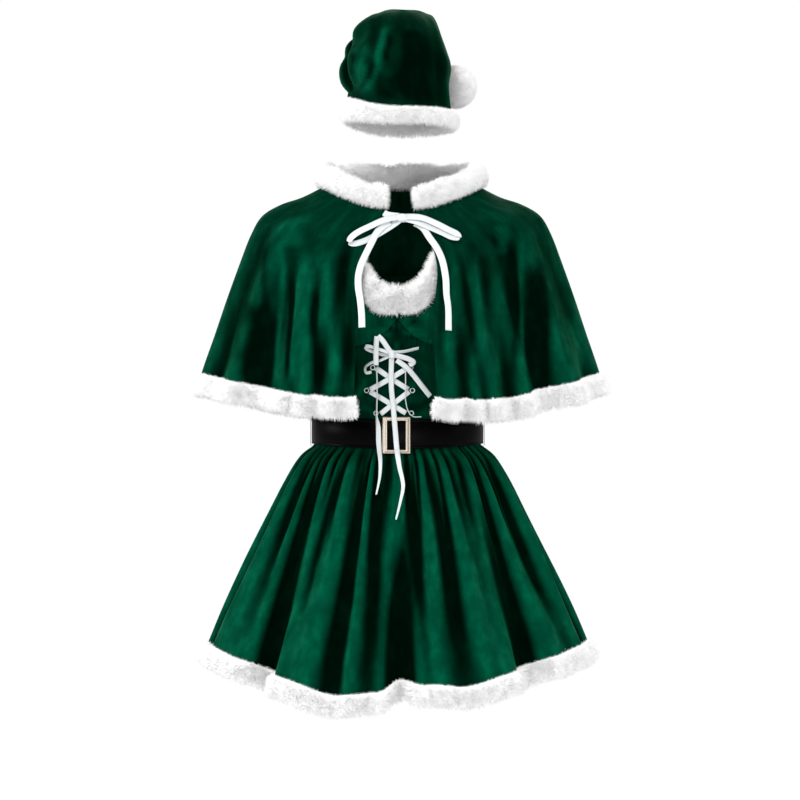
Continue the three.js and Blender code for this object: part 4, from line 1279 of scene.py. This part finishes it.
# %% Plush strips on the hems, the neckline and the brim
HEM_PROFILE = table("along out", [
    [0.14, 0.3],
    [0.17, 2.2],
    [0.3, 3.4],
    [0.52, 3.8],
    [0.72, 3.2],
    [0.85, 1.2],
    [0.87, -1.0],
    [0.78, -2.8],
    [0.56, -3.4],
    [0.34, -3.2],
    [0.19, -2.0],
])


def plush_strip(name, point, around, from_v, to_v, closed=False):
    """A padded strip along a surface, between two of its rows."""
    along, out = HEM_PROFILE["along"][None, :], HEM_PROFILE["out"][None, :]
    u = around[:, None]
    uneven = 1 + 0.12 * np.sin(37 * np.arange(len(around)) * 0.07)[:, None]
    places = point(u, mix(from_v(u), to_v(u), along), out * uneven)
    return tube(name, places, plush, closed=closed)


def constant(value):
    return lambda u: value + 0 * u


HEM_LOCKS = {"tilt": 2.2, "sewn": 0.4}
FIRST_SEED = 3
trims = {}


def add_trim(node, strip, triangles, **locks):
    """Gives a strip its locks, with the next seed, and keeps it under its node's name."""
    trims[node] = fluffy(strip, triangles, seed=FIRST_SEED + len(trims), **locks)


down = (constant(SKIRT_TRIM_ROW), constant(SKIRT_HEM_ROW))
for name, (start, end) in SKIRT_ENDS.items():
    strip = plush_strip("plush_skirt_" + name, skirt_point, np.linspace(start, end, SKIRT_COLUMNS), *down)
    add_trim("skirt_trim_" + name, strip, 108000, **HEM_LOCKS)
down = (constant(CAPE_TRIM_ROW), constant(CAPE_HEM_ROW))
for name, (start, end, columns) in CAPE_PANELS.items():
    strip = plush_strip("plush_cape_" + name, cape_point, np.linspace(start, end, columns), *down)
    add_trim("cape_trim_" + name, strip, 54000 if name == "back" else 48000, **HEM_LOCKS)
down = [lambda angle, edge=edge: -height_at(NECK_TRIM, angle, edge) for edge in ("upper", "lower")]
for side, name in ((-1, "left"), (1, "right")):
    around = side * np.linspace(SEAM_ANGLE, 30, 40)
    strip = plush_strip("plush_neckline_" + name, torso_point, around, *down)
    add_trim("neck_trim_" + name, strip, 30000, length=12.0, tilt=2.4)
down = (constant(HAT_TRIM_ROW), constant(HAT_HEM_ROW))
strip = plush_strip("plush_brim", hat_point, np.linspace(0, 360, 121)[1:], *down, closed=True)
add_trim("hat_brim", strip, 70000, **HEM_LOCKS)
for node, piece in trims.items():
    stands_for(piece, node)

# %% [markdown]
# The collar is the same plush folded into a thick stand-up band that leans in at its top. Its foot
# is sewn to the neckline.

# %% Collar
COLLAR_PROFILE = table("out up", [
    [5, 5],
    [6.5, 13],
    [4, 22],
    [-1, 28],
    [-6, 28.5],
    [-9, 24],
    [-8.5, 15],
    [-6, 7],
    [-2, 2.5],
])
around = np.linspace(0.995, -0.995, 181)[:, None]
neckline = cape_point(around, 0 * around)
outwards = cape_normal(around, 0 * around)
outwards[..., 2] = 0
outwards = unit(outwards)
swell = (1 + 0.05 * np.sin(23 * around) + 0.04 * np.sin(51 * around + 1))[..., None]
out = COLLAR_PROFILE["out"][None, :, None]
up = COLLAR_PROFILE["up"][None, :, None] * np.array([0, 0, 1.0])
collar_places = neckline + swell * (outwards * out + up)
collar = fluffy(tube("plush_collar", collar_places, plush), 88000, seed=21)
stands_for(collar, "collar")

# %% [markdown]
# The pompom is a ball of the same plush, sewn to the hat's tip. Its locks are short and even, so it
# reads as a smooth soft ball.

# %% Pompom
POMPOM_CENTRE = np.array([79.5, 72.0, 154.0])
POMPOM_CORE = 24.5
BALL_RINGS, BALL_COLUMNS = 18, 32
polar = np.linspace(0, np.pi, BALL_RINGS + 1)[1:-1]
turned = np.linspace(0, 2 * np.pi, BALL_COLUMNS, endpoint=False)
ball = np.stack(
    [
        np.outer(np.sin(polar), np.cos(turned)),
        np.outer(np.sin(polar), np.sin(turned)),
        np.outer(np.cos(polar), np.ones(BALL_COLUMNS)),
    ],
    axis=-1,
)
points = POMPOM_CENTRE + POMPOM_CORE * np.concatenate([ball.reshape(-1, 3), [[0, 0, 1], [0, 0, -1]]])
top, low = len(points) - 2, len(points) - 1
faces = grid_faces(BALL_RINGS - 1, BALL_COLUMNS, 0, True)
last_ring = (BALL_RINGS - 2) * BALL_COLUMNS
for j in range(BALL_COLUMNS):
    following = (j + 1) % BALL_COLUMNS
    faces.append([j, following, top])
    faces.append([last_ring + following, last_ring + j, low])
pompom = fluffy(new_object("plush_pompom", points, faces, plush), 52000, length=8.0, tilt=0.9, seed=33)
stands_for(pompom, "hat_pompom")

# %% [markdown]
# Belt: one strip of imitation leather, 40 mm wide, with turned edges. Its section is a flat loop
# with rounded corners and a shallow pressed line along each edge, swept round the waist.

# %% Belt
BELT_WALL = 2.2
BELT_INSIDE = {"halfWidth": 117.9, "front": 88.5, "back": 87.7}
BELT_LOWER = {"side": -355.0, "front": -360.5, "back": -355.0}
BELT_PROFILE = table("up out", [
    [0.4, 0.1],
    [0, 0.9],
    [0.4, 1.9],
    [1.2, 2.2],
    [3.2, 2.2],
    [3.8, 1.8],
    [4.4, 2.2],
    [20, 2.3],
    [35.6, 2.2],
    [36.2, 1.8],
    [36.8, 2.2],
    [38.8, 2.2],
    [39.6, 1.9],
    [40, 0.9],
    [39.6, 0.1],
])


def belt_place(angle, up, out):
    """A place beside the belt's inside, up from its lower edge and out from it."""
    half_width, front, back = (size + out for size in BELT_INSIDE.values())
    return ellipse_at(DRESS_CENTRE, half_width, front, back, angle, ring_height(BELT_LOWER, angle) + up)


around = np.linspace(0, 360, 161)[1:, None]
up, out = BELT_PROFILE["up"][None, :], BELT_PROFILE["out"][None, :]
slack = 0.5 * np.sin(np.radians(around) * 9 + 1) * (out > 1)
belt = tube("leather_belt", belt_place(around, up, out + 0.3 * slack), leather, closed=True)
soft_edges(belt, 50)
stands_for(belt, "belt")

# %% [markdown]
# The buckle is a plated frame whose bars step down towards the window. A section is swept round the
# rectangle with mitred corners, so each step stays sharp.

# %% Buckle
BUCKLE_CENTRE = np.array([-4.9, -91.5, -342.0])
BUCKLE_HALF = np.array([19.3, 25.25])
BUCKLE_WINDOW = np.array([12.1, 19.45])
BUCKLE_STEPS = table("inwards front", [
    [0, 0.2],
    [0, 2.3],
    [0.1, 3.0],
    [0.2, 3.4],
    [0.32, 3.4],
    [0.4, 2.9],
    [0.62, 2.7],
    [0.7, 3.1],
    [0.84, 3.1],
    [0.95, 2.6],
    [1, 1.9],
    [1, 0.2],
])
corners = np.array([[-1, -1], [1, -1], [1, 1], [-1, 1]], dtype=float)
inwards = BUCKLE_STEPS["inwards"][None, :, None]
flat = corners[:, None, :] * mix(BUCKLE_HALF, BUCKLE_WINDOW, inwards)
buckle_places = np.stack(
    [
        BUCKLE_CENTRE[0] + flat[..., 0],
        BUCKLE_CENTRE[1] - BUCKLE_STEPS["front"][None, :] + 0 * flat[..., 0],
        BUCKLE_CENTRE[2] + flat[..., 1],
    ],
    axis=-1,
)
buckle = tube("plated_buckle", buckle_places, plated, closed=True, smooth=False)
WORN_EDGE = 0.25
bevel = buckle.modifiers.new("worn_edges", "BEVEL")
bevel.width = WORN_EDGE * MM
bevel.segments = 2
bevel.limit_method = "ANGLE"
stands_for(buckle, "buckle")

# %% [markdown]
# Ribbons are flat bands. Each follows a smooth curve through a few points that lie a known distance
# out from the cloth, and its edges turn a little, as woven ribbon does.


# %% Bands along curves
def spline(points, t):
    """A centripetal curve through points at places t from 0 to 1."""
    points = np.asarray(points, dtype=float)
    last = len(points) - 1
    place = np.clip(np.asarray(t, dtype=float), 0, 1) * last
    i = np.minimum(place.astype(int), last - 1)
    weight = (place - i)[:, None]
    padded = np.concatenate([[2 * points[0] - points[1]], points, [2 * points[-1] - points[-2]]])
    p0, p1, p2, p3 = (padded[i + k] for k in range(4))
    pairs = ((p0, p1), (p1, p2), (p2, p3))
    step = [np.maximum(np.linalg.norm(b - a, axis=1), 1e-6)[:, None] ** 0.5 for a, b in pairs]
    slope1 = ((p1 - p0) / step[0] - (p2 - p0) / (step[0] + step[1]) + (p2 - p1) / step[1]) * step[1]
    slope2 = ((p2 - p1) / step[1] - (p3 - p1) / (step[1] + step[2]) + (p3 - p2) / step[2]) * step[1]
    cubic = 2 * p1 - 2 * p2 + slope1 + slope2
    square = -3 * p1 + 3 * p2 - 2 * slope1 - slope2
    return p1 + slope1 * weight + square * weight**2 + cubic * weight**3


BAND_SECTION = table("across out", [
    [-1, -1],
    [-0.5, -0.7],
    [0, -0.6],
    [0.5, -0.7],
    [1, -1],
    [1, 0.6],
    [0.5, 0.9],
    [0, 1],
    [-0.5, 0.9],
    [-1, 0.6],
])
RIBBON_WALL = 0.8
TIP_FROM = 0.62
TIP_CURVE = 1.3


def band(name, places, acrosses, width, stuff, thickness=RIBBON_WALL, steps=None, tip=1.0):
    """A flat band whose end may fold to a narrower tip; returns its object and its middle line."""
    t = np.linspace(0, 1, (steps or 8 * (len(places) - 1)) + 1)
    middle = spline(places, t)
    tangent = unit(spline(places, t + 1e-3) - spline(places, t - 1e-3))
    across = spline(acrosses, t)
    across = unit(across - (across * tangent).sum(axis=1, keepdims=True) * tangent)
    out = unit(np.cross(across, tangent))
    towards_tip = np.clip((t - TIP_FROM) / (1 - TIP_FROM), 0, 1)[:, None, None]
    narrowed = 1 - (1 - tip) * towards_tip**TIP_CURVE
    sideways = BAND_SECTION["across"][None, :, None] * width / 2 * narrowed
    thick = BAND_SECTION["out"][None, :, None] * thickness / 2
    sections = middle[:, None] + across[:, None] * sideways + out[:, None] * thick
    return tube(name, sections, stuff), middle


BODICE_FOOT = -318
BELT_FOOT = -364


def dress_front(x, z):
    """The front of the dress at x and z: bodice, belt or skirt."""

    def across(half_width, depth):
        return depth * math.sqrt(max(1 - ((x - DRESS_CENTRE) / half_width) ** 2, 0))

    if z < BELT_FOOT:
        fronts = SKIRT["front"]
        i = next(k for k in range(len(fronts) - 1) if z >= fronts[k + 1])
        share = (z - fronts[i]) / (fronts[i + 1] - fronts[i])
        value = {key: mix(SKIRT[key][i], SKIRT[key][i + 1], share) for key in SKIRT}
        return -across(value["halfWidth"], value["frontDepth"] + value["gather"] + value["fold"])
    if z < BODICE_FOOT:
        return -across(BELT_INSIDE["halfWidth"] + BELT_WALL, BELT_INSIDE["front"] + BELT_WALL)
    row = row_at(TORSO, z)
    angle = math.degrees(math.asin((x - DRESS_CENTRE) / float(row["halfWidth"])))
    return -across(float(row["halfWidth"]), float(row["front"])) - float(cup_out(angle, -z))


def cape_front(x, z):
    """The front of the cape at x and z, carried on across its opening."""

    def at(v):
        row = row_at(CAPE, v)
        offset = x - CAPE_CENTRE * (1 - v / CAPE_HEM_ROW)
        turn = math.asin(min(abs(offset) / float(row["halfWidth"]), 0.95))
        angle = math.degrees(turn) * (-1 if x < 0 else 1)
        grown = (v / CAPE_HEM_ROW) ** CAPE_FOLD_GROWTH
        y = -float(row["frontDepth"]) * math.cos(turn) - grown * float(wave_at(CAPE_FOLDS, angle, "out"))
        height = float(ring_height(row, angle)) + grown * float(wave_at(CAPE_FOLDS, angle, "lift"))
        return y, height

    low, high = 0.0, float(CAPE_HEM_ROW)
    for _ in range(24):
        middle = (low + high) / 2
        if at(middle)[1] > z:
            low = middle
        else:
            high = middle
    return at(low)[0]


def turned_about(vector, axis, degrees):
    turn = math.radians(degrees)
    return (
        vector * math.cos(turn)
        + np.cross(axis, vector) * math.sin(turn)
        + axis * np.dot(axis, vector) * (1 - math.cos(turn))
    )


def lie_on(front, rows, fixed_across=None):
    """Places and directions across a ribbon from rows of x, height, distance out and twist."""
    places, acrosses = [], []
    for i, (x, z, out, *twist) in enumerate(rows):
        slope = (front(x + 1, z) - front(x - 1, z)) / 2
        normal = unit(np.array([slope, -1.0, 0.0]))
        places.append(np.array([x, front(x, z), z]) + normal * out)
        before, after = rows[max(i - 1, 0)], rows[min(i + 1, len(rows) - 1)]
        tangent = unit(np.array([after[0] - before[0], 0.0, after[1] - before[1]]))
        sideways = unit(np.cross(tangent, normal))
        acrosses.append(turned_about(sideways, tangent, twist[0] if twist else 0))
    if fixed_across is not None:
        acrosses = [np.array(fixed_across, dtype=float)] * len(rows)
    return places, acrosses


print("ribbon helpers ready")

# %% [markdown]
# The cape closes with a 9 mm ribbon: a short band from each collar end, a knot, two loops and two
# long tails. The tails hang free over the cape.

# %% Ribbons of the cape's tie
TIE_WIDTH = 9.0
TIE = {
    "tie_band_left": [[-22, -38, 1.2], [-18, -40.6, 2.4], [-12, -42.4, 6], [-1.5, -43.8, 8.6]],
    "tie_band_right": [[27, -45, 2.4], [22.5, -44.6, 4.2], [17, -44.6, 7], [7.5, -44.8, 8.8]],
    "tie_tail_left": [
        [-13, -52.5, 7.5],
        [-20, -56, 7.5],
        [-30, -65, 7.2],
        [-38.5, -82, 6.6],
        [-46.5, -98, 5],
        [-53, -113, 4],
        [-56, -127, 4],
        [-55.5, -143, 4.6],
        [-52.5, -159, 5],
        [-50.5, -178, 5],
        [-50, -197, 5],
    ],
    "tie_tail_right": [
        [20, -53, 4.4],
        [26, -56, 4],
        [32, -61, 4],
        [39.5, -73, 4],
        [48, -86, 4],
        [54.5, -100, 4, 10],
        [58, -113, 4, 20],
        [60.5, -132, 4, 10],
        [61, -152, 4],
        [63, -171, 4],
        [63.5, -201, 4],
    ],
}
TIE_LOOPS = {
    "tie_loop_left": (
        (-0.45, 0.45, 0.89),
        [
            [-1, -45, 11.6],
            [-20, -49, 13],
            [-40, -58, 13],
            [-58, -68, 12],
            [-67, -75, 9.5],
            [-69, -80, 6],
            [-63, -82, 3.6],
            [-48, -78, 3.2],
            [-32, -70, 3.2],
            [-19, -62, 3.6],
            [-9, -55.4, 4.8],
            [-1, -49.6, 7.6],
        ],
    ),
    "tie_loop_right": (
        (0.45, 0.45, 0.89),
        [
            [7, -44.6, 11.6],
            [28, -46, 13],
            [48, -54, 13],
            [66, -63, 12],
            [76, -69, 9.5],
            [78, -73, 8.2],
            [72, -73, 7.6],
            [58, -67, 7.8],
            [42, -60, 8],
            [30, -54.5, 8.6],
            [19, -50.4, 9.4],
            [8, -47.6, 9.6],
        ],
    ),
}


for name, rows in TIE.items():
    piece, middle = band("ribbon_" + name, *lie_on(cape_front, rows), TIE_WIDTH, ribbon)
    stands_for(piece, name)
for name, (across, rows) in TIE_LOOPS.items():
    piece, middle = band("ribbon_" + name, *lie_on(cape_front, rows, across), TIE_WIDTH, ribbon)
    stands_for(piece, name)


# %% [markdown]
# A tied knot is short and firm, squarer than a ball, with a fold or two of ribbon raised on it.

# %% Knots
KNOT_SQUARE = 0.72


def knot(name, node, centre, width, depth, height):
    """A small firm knot: a rounded block with the folds of the ribbon wrapped round it."""

    def squarer(wave):
        return np.sign(wave) * np.abs(wave) ** KNOT_SQUARE

    rings, columns = 20, 28
    polar = np.linspace(0.06, np.pi - 0.06, rings)[:, None]
    turned = np.linspace(0, 2 * np.pi, columns, endpoint=False)[None, :]
    folds = 1 + 0.07 * np.sin(3 * turned + 4 * polar) + 0.05 * np.cos(7 * polar + turned)
    reach = folds * squarer(np.sin(polar))
    places = np.stack(
        [
            centre[0] + width / 2 * reach * squarer(np.cos(turned)),
            centre[1] + depth / 2 * reach * squarer(np.sin(turned)),
            centre[2] + height / 2 * squarer(np.cos(polar)) * (1 + 0.06 * np.sin(3 * turned)),
        ],
        axis=-1,
    )
    stands_for(tube(name, places, ribbon), node)


TIE_KNOT = (3, -89, -46.3)
LACE_KNOT = (-11, dress_front(-11, -231) - 6.6, -232.4)
knot("ribbon_tie_knot", "tie_knot", TIE_KNOT, width=14, depth=10.5, height=11.6)
knot("ribbon_lace_knot", "lace_knot", LACE_KNOT, width=9.8, depth=6.6, height=11.8)
print("two knots tied")

# %% [markdown]
# A 7 mm ribbon laces the midriff through six thread loops, crosses twice and ends in a bow. Under
# and over strips lie at different distances out, so they pass each other like the real ones.

# %% Lacing
LACE_WIDTH = 7.0
STRAND_WIDTH = 2.6
FOLDED_WIDTH = 4.6
LACING = {
    "lace_cross_1": [[-32.5, -250.5, 1.7], [-11, -265.5, 1.7], [11, -279.5, 1.7]],
    "lace_cross_2": [[10, -250.5, 3.4], [-14, -265.5, 3.7], [-40, -280, 3.4]],
    "lace_cross_3": [[-40.5, -282.5, 1.7], [-14, -298.5, 1.7], [8, -312, 1.7]],
    "lace_cross_4": [[12, -282.5, 3.4], [-8, -298.5, 3.7], [-26, -313, 3.4]],
    "lace_strip": [[-30.5, -208, 9.6], [-31, -222, 9.6], [-31, -236, 9.6], [-31, -247, 9.2]],
    "lace_diagonal": [[-29.4, -207.4, 8.2], [-23.6, -213, 8.2], [-18, -221, 8], [-12.5, -229.5, 6.8]],
    "lace_bow_right": [
        [-9, -230, 6.4, 50],
        [6, -228.5, 7, 60],
        [18, -225.5, 7, 60],
        [24.5, -224, 6.6, 60],
    ],
    "lace_bow_low": [
        [-9, -233, 6, 20],
        [3, -236, 6.6, 20],
        [12, -239, 6.4, 10],
        [17.5, -243, 5.6, 0],
        [12, -247, 4.8, 0],
    ],
}
LACE_TAILS = {
    "lace_tail_centre": [
        [-11, -238, 7],
        [-11.5, -250, 6.4],
        [-11.5, -276, 5.8],
        [-9, -303, 5.8],
        [-8, -314, 8.4],
        [-7, -327, 5.6],
        [-4.5, -357, 5.6],
        [-3, -370, 12, 10],
        [-0.7, -385, 5.5, 20],
        [4, -409, 4.5, 10],
        [0.5, -430, 4, -10],
        [-5.4, -454, 4, 20],
    ],
    "lace_tail_left": [
        [-30.5, -254, 8, 70],
        [-30, -270, 7.8, 70],
        [-30, -288, 7.6, 70],
        [-30.5, -306, 7.4, 70],
        [-30.5, -317, 7, 60],
        [-29, -331, 3.4, 20],
        [-28.5, -348, 3, 0],
        [-27.5, -362, 4, 0],
        [-26, -377, 4.4, 10],
        [-27, -399, 4, 30],
        [-31.4, -421, 4, 40],
    ],
    "lace_tail_right": [
        [-4.8, -240, 5.8],
        [1, -244, 5.8],
        [9.5, -251, 5.8],
        [19, -262, 4.6],
        [29, -275, 4],
        [40, -289, 4],
    ],
}
LACE_TIPS = {"lace_tail_centre": 0.3, "lace_tail_left": 0.35}
LACE_STRAND = [
    [7, -254, 6.6, 75],
    [7, -275, 6.4, 75],
    [7, -294, 6.2, 75],
    [11, -310, 5.6, 75],
    [17, -316.5, 5, 75],
    [28, -317, 4.4, 75],
]
LACE_BOW_LEFT = [
    [-12.5, -230.5, 7.2],
    [-28, -225.5, 7],
    [-40, -221.5, 6.4],
    [-46, -221.5, 5],
    [-44, -225, 3],
    [-32, -230, 2],
    [-22, -232.6, 2.6],
    [-13, -231.5, 5.4],
]
LACE_CURL = [
    [-12.5, -234, 5.4, 40],
    [-27, -240.5, 5, 40],
    [-38, -243.5, 5, 40],
    [-46, -250, 4.4, 40],
    [-45, -257, 3.6, 30],
    [-38, -256, 3.4, 30],
]
for name, rows in {**LACING, **LACE_TAILS}.items():
    tip = LACE_TIPS.get(name, 1.0)
    piece, middle = band("ribbon_" + name, *lie_on(dress_front, rows), LACE_WIDTH, ribbon, tip=tip)
    stands_for(piece, name)
for name, rows, width, across in (
    ("lace_strand", LACE_STRAND, STRAND_WIDTH, None),
    ("lace_bow_left", LACE_BOW_LEFT, FOLDED_WIDTH, (0.3, 0, 0.95)),
    ("lace_curl", LACE_CURL, FOLDED_WIDTH, None),
):
    piece, middle = band("ribbon_" + name, *lie_on(dress_front, rows, across), width, ribbon)
    stands_for(piece, name)

# %% [markdown]
# The lacing runs through six small rings of thick thread, three on each side of the midriff. Each
# ring is turned a little to follow the round of the dress.

# %% Thread loops for the lacing
LACE_LOOPS = table("x height", [
    [-37, -250],
    [14.5, -250],
    [-45.5, -281],
    [16.8, -281],
    [-32.5, -312],
    [15.5, -312],
])
LOOP_RADIUS = 3.0
LOOP_THREAD = 0.6
LOOP_OUT = 1.5
LOOP_FACING = 150
for i, (x, height) in enumerate(zip(LACE_LOOPS["x"], LACE_LOOPS["height"])):
    turn = math.atan2(x - DRESS_CENTRE, LOOP_FACING)
    ring = np.linspace(0, 2 * np.pi, 28, endpoint=False)[:, None]
    thread = np.linspace(0, 2 * np.pi, 10, endpoint=False)[None, :]
    reach = LOOP_RADIUS + LOOP_THREAD * np.cos(thread)
    centre = np.array([x, dress_front(x, height) - LOOP_OUT, height])
    flat_x = reach * np.cos(ring)
    forward = LOOP_THREAD * np.sin(thread) + 0 * ring
    places = np.stack(
        [
            centre[0] + flat_x * math.cos(turn) - forward * math.sin(turn),
            centre[1] + flat_x * math.sin(turn) + forward * math.cos(turn),
            centre[2] + reach * np.sin(ring),
        ],
        axis=-1,
    )
    piece = tube("thread_loop_%d" % (i + 1), places, ribbon, closed=True)
    stands_for(piece, "lace_loop_%d" % (i + 1))
print(len(LACE_LOOPS["x"]), "thread loops")

# %% [markdown]
# Two narrow loops of tape at the side seams keep the belt up. Each starts above the belt, runs down
# over it and ends below it.

# %% Belt loops
BELT_LOOP = table("up out", [
    [43.4, 0.2],
    [42.6, 2.6],
    [38, 3.2],
    [20, 3.2],
    [2, 3.2],
    [-2.6, 2.6],
    [-3.6, 0.6],
])
BELT_LOOP_WALL = 1.0
BELT_LOOP_HALF_ANGLE = 1.6
for name, angle in (("left", -87.0), ("right", 87.0)):
    t = np.linspace(0, 1, 49)
    path = spline(np.column_stack([BELT_LOOP["up"], BELT_LOOP["out"], 0 * BELT_LOOP["up"]]), t)
    up, out = path[:, :1], path[:, 1:2]
    side = np.array([-1, 1, 1, -1])[None, :] * BELT_LOOP_HALF_ANGLE
    wall = np.array([0, 0, 1, 1])[None, :] * BELT_LOOP_WALL
    piece = tube("belt_loop_" + name + "_tape", belt_place(angle + side, up + 0 * side, out + wall), ribbon)
    soft_edges(piece, 50)
    stands_for(piece, "belt_loop_" + name)

# %% [markdown]
# A strap is a strip of velvet folded double. It starts at the bodice's top edge, rises to the
# shoulder, lies close under the cape there and goes down to the back.

# %% Shoulder straps
STRAP_WIDTH = 28.0
STRAP_WALL = 1.6
STRAP_UNDER_CAPE = -(VELVET_WALL + SEAM_GAP + STRAP_WALL / 2 + 0.4)
STRAP_ROW = 0.5
STRAP_FRONT = 42
STRAP_BACK = 138


def shoulder(side, u, sunk):
    """A place of the strap under the cape's shoulder, and the direction across it."""
    place = cape_point(side * u, STRAP_ROW, STRAP_UNDER_CAPE - sunk)
    return place, unit(cape_point(side * u, STRAP_ROW + 0.1) - cape_point(side * u, STRAP_ROW - 0.1))


def strap_end(side, angle, up):
    """A place of the strap over the bodice's top edge, and the direction across it."""
    turn = math.radians(side * angle)
    height = bodice_top(angle) + SEAM_GAP + 0.3 + up
    place = torso_point(side * angle, -height, -VELVET_WALL / 2)
    sign = side * math.copysign(1, math.cos(turn))
    return place, np.array([math.cos(turn), math.sin(turn), 0.0]) * sign


def rising(foot, top, outwards):
    """A place of the strap halfway from the bodice up to the shoulder."""
    place = mix(foot[0], top[0], 0.5) + np.array([0.0, outwards, 0.0])
    return place, unit(mix(foot[1], top[1], 0.3))


for side, name in ((-1, "left"), (1, "right")):
    front_end, back_end = strap_end(side, STRAP_FRONT, 0), strap_end(side, STRAP_BACK, 0)
    rows = [
        front_end,
        strap_end(side, STRAP_FRONT, 14),
        rising(front_end, shoulder(side, 0.69, 8), -6),
        shoulder(side, 0.67, 7),
        shoulder(side, 0.6, 1.5),
        shoulder(side, 0.535, 0),
        shoulder(side, 0.47, 2.5),
        shoulder(side, 0.4, 9),
        rising(back_end, shoulder(side, 0.38, 10), 6),
        strap_end(side, STRAP_BACK, 14),
        back_end,
    ]
    places, acrosses = zip(*rows)
    strap, middle = band("velvet_strap_" + name, places, acrosses, STRAP_WIDTH, velvet, STRAP_WALL)
    stands_for(strap, "strap_" + name)

# %% [markdown]


# %% [markdown]
# Light: a big soft source from the front and above, a softer one on each side for the velvet's
# sheen, and a pale room. The floor is far below, since the set is held up by its wearer.

# %% Light, room and floor
def soft_light(name, place, size, power):
    data = bpy.data.lights.new(name, "AREA")
    data.shape = "SQUARE"
    data.size = size
    data.energy = power
    lamp = bpy.data.objects.new(name, data)
    lamp.location = place
    aim = np.array([0, 0, CAMERA_HEIGHT]) - np.array(place)
    yaw = math.atan2(aim[1], aim[0]) - math.pi / 2
    pitch = math.atan2(aim[2], math.hypot(aim[0], aim[1])) + math.pi / 2
    lamp.rotation_euler = (pitch, 0, yaw)
    bpy.context.collection.objects.link(lamp)


soft_light("front_high", (-1.1, -2.6, 1.9), 0.9, 70)
soft_light("front_low", (0.5, -3.4, -0.9), 1.6, 35)
soft_light("left_side", (-2.6, -0.5, 0.3), 1.0, 40)
soft_light("right_side", (2.6, -0.7, 0.6), 1.0, 34)
soft_light("behind", (0.4, 2.2, 1.6), 1.8, 30)
ROOM_LIGHT = 0.74
ROOM_SEEN = 1.05
room = bpy.data.worlds.new("pale_room")
room.use_nodes = True
tree = room.node_tree
sky = tree.nodes["Background"]
sky.inputs["Color"].default_value = linear("#fbfbfb")
seen = add_node(tree, "ShaderNodeLightPath").outputs["Is Camera Ray"]
tree.links.new(ranged(tree, seen, (0.0, 1.0), (ROOM_LIGHT, ROOM_SEEN)), sky.inputs["Strength"])
bpy.context.scene.world = room
bpy.context.scene.view_settings.view_transform = "Standard"
FLOOR_HEIGHT = -1250.0
FLOOR_REACH = 4000.0
FLOOR_FADE = (1.6, 3.6)
paper, tree, shader = new_material("paper_white_matt")
place = add_node(tree, "ShaderNodeTexCoord").outputs["Object"]
away = add_node(tree, "ShaderNodeVectorMath", operation="LENGTH", links={0: place}).outputs["Value"]
tree.links.new(ranged(tree, away, FLOOR_FADE, (1.0, 0.0)), shader.inputs["Alpha"])
shader.inputs["Base Color"].default_value = linear("#f6f6f5")
shader.inputs["Roughness"].default_value = 0.9
corners = [[-1, -1, 0], [1, -1, 0], [1, 1, 0], [-1, 1, 0]]
floor = new_object(
    "floor", np.array(corners) * FLOOR_REACH + [0, 0, FLOOR_HEIGHT], [[0, 1, 2, 3]], paper, smooth=False
)
print("lights and floor set")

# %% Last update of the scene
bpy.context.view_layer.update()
